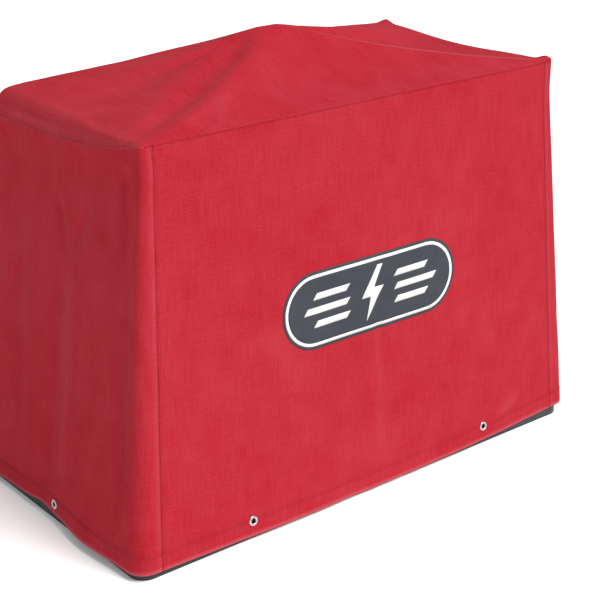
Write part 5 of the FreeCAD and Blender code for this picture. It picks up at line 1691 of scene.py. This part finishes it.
@dataclass
class Emblem:
    """A made-up mark printed on the front wall: a plate with a spark and speed bars."""

    shape: CoverShape
    centre_u: float = 1.5 * MM
    centre_z: float = 402.0 * MM
    width: float = 420.0 * MM
    height: float = 146.0 * MM
    border: float = 6.0 * MM
    film: float = 0.25 * MM
    cell: float = 6.0 * MM
    spark: tuple = ((14.0, 52.0), (-26.0, -6.0), (-4.0, -6.0), (-16.0, -52.0), (28.0, 10.0), (5.0, 10.0),
                    (26.0, 52.0))
    bar_pitch: float = 26.0
    bar_start: float = 58.0
    bar_end: float = 158.0
    bar_step: float = 22.0
    bar_half: float = 6.0 * MM
    bar_lean: float = 5.0 * MM

    def build(self) -> list[bpy.types.Object]:
        """Builds the printed layers and returns them.

        Returns:
            The dark piece and the light piece.
        """
        plate, line, inner = (pill(self.width - 2.0 * k * self.border, self.height - 2.0 * k * self.border,
                                   self.height / 2.0 - k * self.border) for k in range(3))
        spark = [(x * MM, y * MM) for x, y in self.spark]
        dark = [self.layer([plate], 0), self.layer([inner], 2)]
        light = [self.layer([line], 1), self.layer([spark] + self.bars(), 3)]
        return [self.join("emblem_dark", dark, INK_DARK), self.join("emblem_light", light, INK_WHITE)]

    def bars(self) -> list[Outline]:
        """Returns the speed bars either side of the spark.

        Returns:
            One outline for each bar.
        """
        found = []
        for sign in (-1.0, 1.0):
            for i in range(3):
                y = (1 - i) * self.bar_pitch * MM
                near, far = self.bar_start * MM, (self.bar_end - abs(1 - i) * self.bar_step) * MM
                lean, half = self.bar_lean, self.bar_half
                found.append([(sign * near + lean, y + half), (sign * near - lean, y - half),
                              (sign * far - lean, y - half), (sign * far + lean, y + half)])
        return found

    def layer(self, outlines: list[Outline], level: int) -> Gathered:
        """Returns the triangles of flat outlines laid on the cloth at a level of the print.

        Args:
            outlines: The flat shapes.
            level: How many films of ink lie below it.

        Returns:
            The points and faces.
        """
        laid = Gathered()
        for outline in outlines:
            loop = self.dense(outline)
            inside = self.grid(outline)
            spots = [Vector(p) for p in loop + inside]
            edges = [(i, (i + 1) % len(loop)) for i in range(len(loop))]
            found = geometry.delaunay_2d_cdt(spots, edges, [list(range(len(loop)))], 1, 1e-7)
            faces = []
            for face in found[2]:
                a, b, c = (found[0][v] for v in face)
                flip = (b - a).cross(c - a) < 0.0
                faces.append(tuple(reversed(face)) if flip else face)
            laid.add([self.on_cloth(p.x, p.y, level) for p in found[0]], faces)
        return laid

    def dense(self, outline: Outline) -> list[tuple[float, float]]:
        """Returns the outline with its long runs divided into cells.

        Args:
            outline: The outline.

        Returns:
            The denser outline.
        """
        points = []
        for (ax, ay), (bx, by) in zip(outline, outline[1:] + outline[:1]):
            count = max(1, round(math.hypot(bx - ax, by - ay) / self.cell))
            points += [(mix(ax, bx, i / count), mix(ay, by, i / count)) for i in range(count)]
        return points

    def grid(self, outline: Outline) -> list[tuple[float, float]]:
        """Returns grid points inside the outline, clear of its edge.

        Args:
            outline: The outline.

        Returns:
            The points.
        """
        xs, ys = [p[0] for p in outline], [p[1] for p in outline]
        found = []
        for x in np.arange(min(xs), max(xs), self.cell):
            for y in np.arange(min(ys), max(ys), self.cell):
                if self.inside(outline, x, y):
                    found.append((float(x), float(y)))
        return found

    def inside(self, outline: Outline, x: float, y: float) -> bool:
        """Tells whether a point lies inside and at least a third of a cell from the outline.

        Args:
            outline: The outline.
            x, y: The point.

        Returns:
            True for a point well inside.
        """
        crossings, margin = 0, self.cell / 3.0
        for (ax, ay), (bx, by) in zip(outline, outline[1:] + outline[:1]):
            if (ay > y) != (by > y) and x < ax + (bx - ax) * (y - ay) / (by - ay):
                crossings += 1
            length2 = (bx - ax) ** 2 + (by - ay) ** 2
            along = (x - ax) * (bx - ax) + (y - ay) * (by - ay)
            t = 0.0 if length2 == 0.0 else min(1.0, max(0.0, along / length2))
            if math.hypot(x - mix(ax, bx, t), y - mix(ay, by, t)) < margin:
                return False
        return crossings % 2 == 1

    def on_cloth(self, u: float, v: float, level: int) -> Vector:
        """Returns a place on the front wall, a few films of ink off the cloth.

        Args:
            u: Place along the print.
            v: Height above the print's middle.
            level: How many films of ink lie below it.

        Returns:
            The point, in metres.
        """
        shape = self.shape
        z = self.centre_z + v
        share = 0.0
        for _ in range(3):
            place = Place(Side.FRONT, share, 0.0)
            hem_z, rim_z = shape.on_wall(place, 0.0).z, shape.on_wall(place, 1.0).z
            climb = (z - hem_z) / (rim_z - hem_z)
            fall = max(0.0, (1.0 - climb) - shape.straight_top) / (1.0 - shape.straight_top)
            half = mix(shape.rim.x, shape.hem.x, fall) - mix(shape.corner, shape.hem_corner, fall)
            share = (self.centre_u + u) / half
        return shape.on_wall(Place(Side.FRONT, share, 0.0), climb, (level + 1.5) * self.film)

    def join(self, name: str, layers: list[Gathered], finish: Finish) -> bpy.types.Object:
        """Makes one piece of several layers, with the ink's thickness.

        Args:
            name: Name of the piece.
            layers: The layers it is made of.
            finish: The ink.

        Returns:
            The finished piece.
        """
        whole = Gathered()
        for layer in layers:
            whole.add(layer.points, layer.faces)
        obj = mesh_object(name, whole.points, whole.faces)
        film = obj.modifiers.new("ink", "SOLIDIFY")
        film.thickness, film.offset = self.film * 0.8, -1.0
        bake_modifiers(obj)
        return dress(obj, finish)


# ------------------------------------------------------------------ the machine below
@dataclass
class Dials:
    """Printed faces, marks, needles and lenses of the two round gauges."""

    centres: tuple = ((70.0 * MM, 635.0 * MM), (155.0 * MM, 635.0 * MM))
    radius: float = 22.0 * MM
    sweep: float = math.radians(240.0)
    count: int = 21
    readings: tuple = (0.30, 0.62)
    knobs: tuple = (("output_knob", 21), ("mode_knob", 7))
    mark_depth: float = 0.3 * MM
    mark_length: float = 3.6 * MM
    mark_width: float = 0.8 * MM
    mark_ring: float = 0.80
    knob_gap: float = 6.0 * MM
    needle_tip: float = 0.72
    needle_tail: float = 0.22
    needle_half: float = 1.1 * MM
    needle_thick: float = 0.35 * MM
    face_x: float = 3.5 * MM
    mark_x: float = 3.4 * MM
    needle_x: float = 2.9 * MM
    lens_x: float = 1.4 * MM
    panel_x: float = 6.95 * MM
    face_thick: float = 0.4 * MM
    lens_thick: float = 0.8 * MM

    def build(self) -> None:
        """Builds the pieces and hangs them on the machine."""
        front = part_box("gauges")[0].x
        pieces = [self.discs("gauge_faces", front + self.face_x, self.face_thick, DIAL_WHITE),
                  self.marks("gauge_marks", front + self.mark_x, self.centres, self.mark_ring * self.radius,
                             self.count, BLACK_PLASTIC),
                  self.needles(front + self.needle_x),
                  self.discs("gauge_lenses", front + self.lens_x, self.lens_thick, LENS)]
        for name, count in self.knobs:
            low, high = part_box(name)
            middle = ((low.y + high.y) / 2.0, (low.z + high.z) / 2.0)
            reach = (high.y - low.y) / 2.0 + self.knob_gap
            pieces.append(self.marks(name + "_marks", front + self.panel_x, (middle,), reach, count,
                                     DIAL_WHITE))
        for piece in pieces:
            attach(piece, MACHINE)

    def discs(self, name: str, x: float, thick: float, finish: Finish) -> bpy.types.Object:
        """Builds one flat disc in each gauge, its front at x.

        Args:
            name: Name of the piece.
            x: Where the discs start.
            thick: Their thickness.
            finish: What they are made of.

        Returns:
            The discs, as one piece.
        """
        found = Gathered()
        ring, sides = lathe([(0.0, 0.0), (self.radius, 0.0), (self.radius, thick), (0.0, thick)], 48)
        for y, z in self.centres:
            found.add([Vector((x + p.z, y + p.x, z + p.y)) for p in ring], sides)
        return found.solid(name, finish, False)

    def ray(self, share: float) -> Vector:
        """Returns the direction on the dial at a share of its sweep, as it reads from the front."""
        angle = (0.5 - share) * self.sweep
        return Vector((0.0, math.sin(angle), math.cos(angle)))

    def marks(self, name: str, x: float, centres: tuple, reach: float, count: int, finish: Finish
              ) -> bpy.types.Object:
        """Builds the marks round dials.

        Args:
            name: Name of the piece.
            x: Where the middle of the marks' thickness lies.
            centres: Middles of the dials, along y and z.
            reach: Radius of the ring of marks.
            count: Number of marks on each dial.
            finish: What the marks are printed in.

        Returns:
            The marks, as one piece.
        """
        rays = [self.ray(i / (count - 1)) for i in range(count)]
        obj = wire_object(name, [Vector((x, y, z)) + ray * reach for y, z in centres for ray in rays])
        outward = obj.data.attributes.new("outward", "FLOAT_VECTOR", "POINT")
        outward.data.foreach_set("vector", [v for _ in centres for ray in rays for v in ray])
        run_tool(obj, tick_tool(), Depth=self.mark_depth, Length=self.mark_length, Width=self.mark_width)
        return dress(obj, finish)

    def needles(self, x: float) -> bpy.types.Object:
        """Builds a tapered needle on each dial.

        Args:
            x: Where the needles start.

        Returns:
            The needles, as one piece.
        """
        found = Gathered()
        faces = [(0, 1, 2, 3), (7, 6, 5, 4), *((k, k + 4, (k + 1) % 4 + 4, (k + 1) % 4) for k in range(4))]
        for (y, z), reading in zip(self.centres, self.readings):
            ray = self.ray(reading)
            side = Vector((0.0, -ray.z, ray.y)) * self.needle_half
            flat = [ray * self.needle_tip * self.radius, side, ray * -self.needle_tail * self.radius, -side]
            found.add([Vector((x, y, z)) + p + Vector((depth, 0.0, 0.0))
                       for depth in (0.0, self.needle_thick) for p in flat], faces)
        return found.solid("gauge_needles", DIAL_RED, False)


@dataclass
class Machine:
    """The CAD pieces of the welder, with their finishes."""

    def build(self) -> None:
        """Dresses every CAD piece that shows."""
        for finish, names in NODE_FINISHES.items():
            for name in names:
                dress(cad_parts[name], finish)
                log.info("%s in %s", name, finish.name)


# ------------------------------------------------------------------ studio
@dataclass
class Studio:
    """Floor, light and camera."""

    floor_size: float = 60.0
    floor_glow: float = 0.12
    lens: float = 89.37
    eye: tuple[float, float, float] = (-1.705, -2.151, 1.422)
    heading: float = 39.065
    pitch: float = 22.12
    sensor: float = 36.0
    far: float = 200.0
    world_light: float = 0.43
    key_light: float = 3.45
    key_spread: float = 30.0
    key_aim: tuple[float, float, float] = (-0.22, 0.60, -0.78)

    def build(self) -> None:
        """Builds the whole studio."""
        self.floor()
        self.lights()
        self.camera()
        bpy.context.scene.view_settings.view_transform = "Standard"

    def floor(self) -> None:
        """Lays a plain pale floor."""
        s = self.floor_size
        plane = mesh_object("floor", [(-s, -s, 0), (s, -s, 0), (s, s, 0), (-s, s, 0)], [(0, 1, 2, 3)], False)
        pale = bpy.data.materials.new("pale_floor")
        pale.use_nodes = True
        surface = pale.node_tree.nodes["Principled BSDF"]
        surface.inputs["Base Color"].default_value = (0.97, 0.97, 0.97, 1.0)
        surface.inputs["Roughness"].default_value = 0.9
        surface.inputs["Specular IOR Level"].default_value = 0.1
        surface.inputs["Emission Color"].default_value = (1.0, 1.0, 1.0, 1.0)
        surface.inputs["Emission Strength"].default_value = self.floor_glow
        plane.data.materials.append(pale)
        plane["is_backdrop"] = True

    def lights(self) -> None:
        """Lights the scene evenly, with a soft key from the front right."""
        world = bpy.data.worlds.new("studio")
        world.use_nodes = True
        shade = world.node_tree.nodes["Background"]
        shade.inputs[0].default_value = (1.0, 1.0, 1.0, 1.0)
        shade.inputs[1].default_value = self.world_light
        bpy.context.scene.world = world
        key = bpy.data.lights.new("key", "SUN")
        key.energy = self.key_light
        key.angle = math.radians(self.key_spread)
        lamp = link_new("key", key)
        lamp.rotation_euler = Vector(self.key_aim).to_track_quat("-Z", "Y").to_euler()

    def camera(self) -> None:
        """Sets the camera."""
        data = bpy.data.cameras.new("camera")
        data.lens, data.sensor_width, data.clip_end = self.lens, self.sensor, self.far
        obj = link_new("camera", data)
        obj.location = self.eye
        obj.rotation_euler = (math.radians(90.0 - self.pitch), 0.0, math.radians(-self.heading))
        bpy.context.scene.camera = obj


def main() -> None:
    """Builds the studio, the machine and the cover."""
    logging.basicConfig(level=logging.INFO, format="%(message)s")
    Studio().build()
    Machine().build()
    Dials().build()
    CanvasCover().build()
    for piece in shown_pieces():
        log.info("piece %s: %d faces", piece.name, len(piece.data.polygons))


if __name__ == "__main__":
    main()
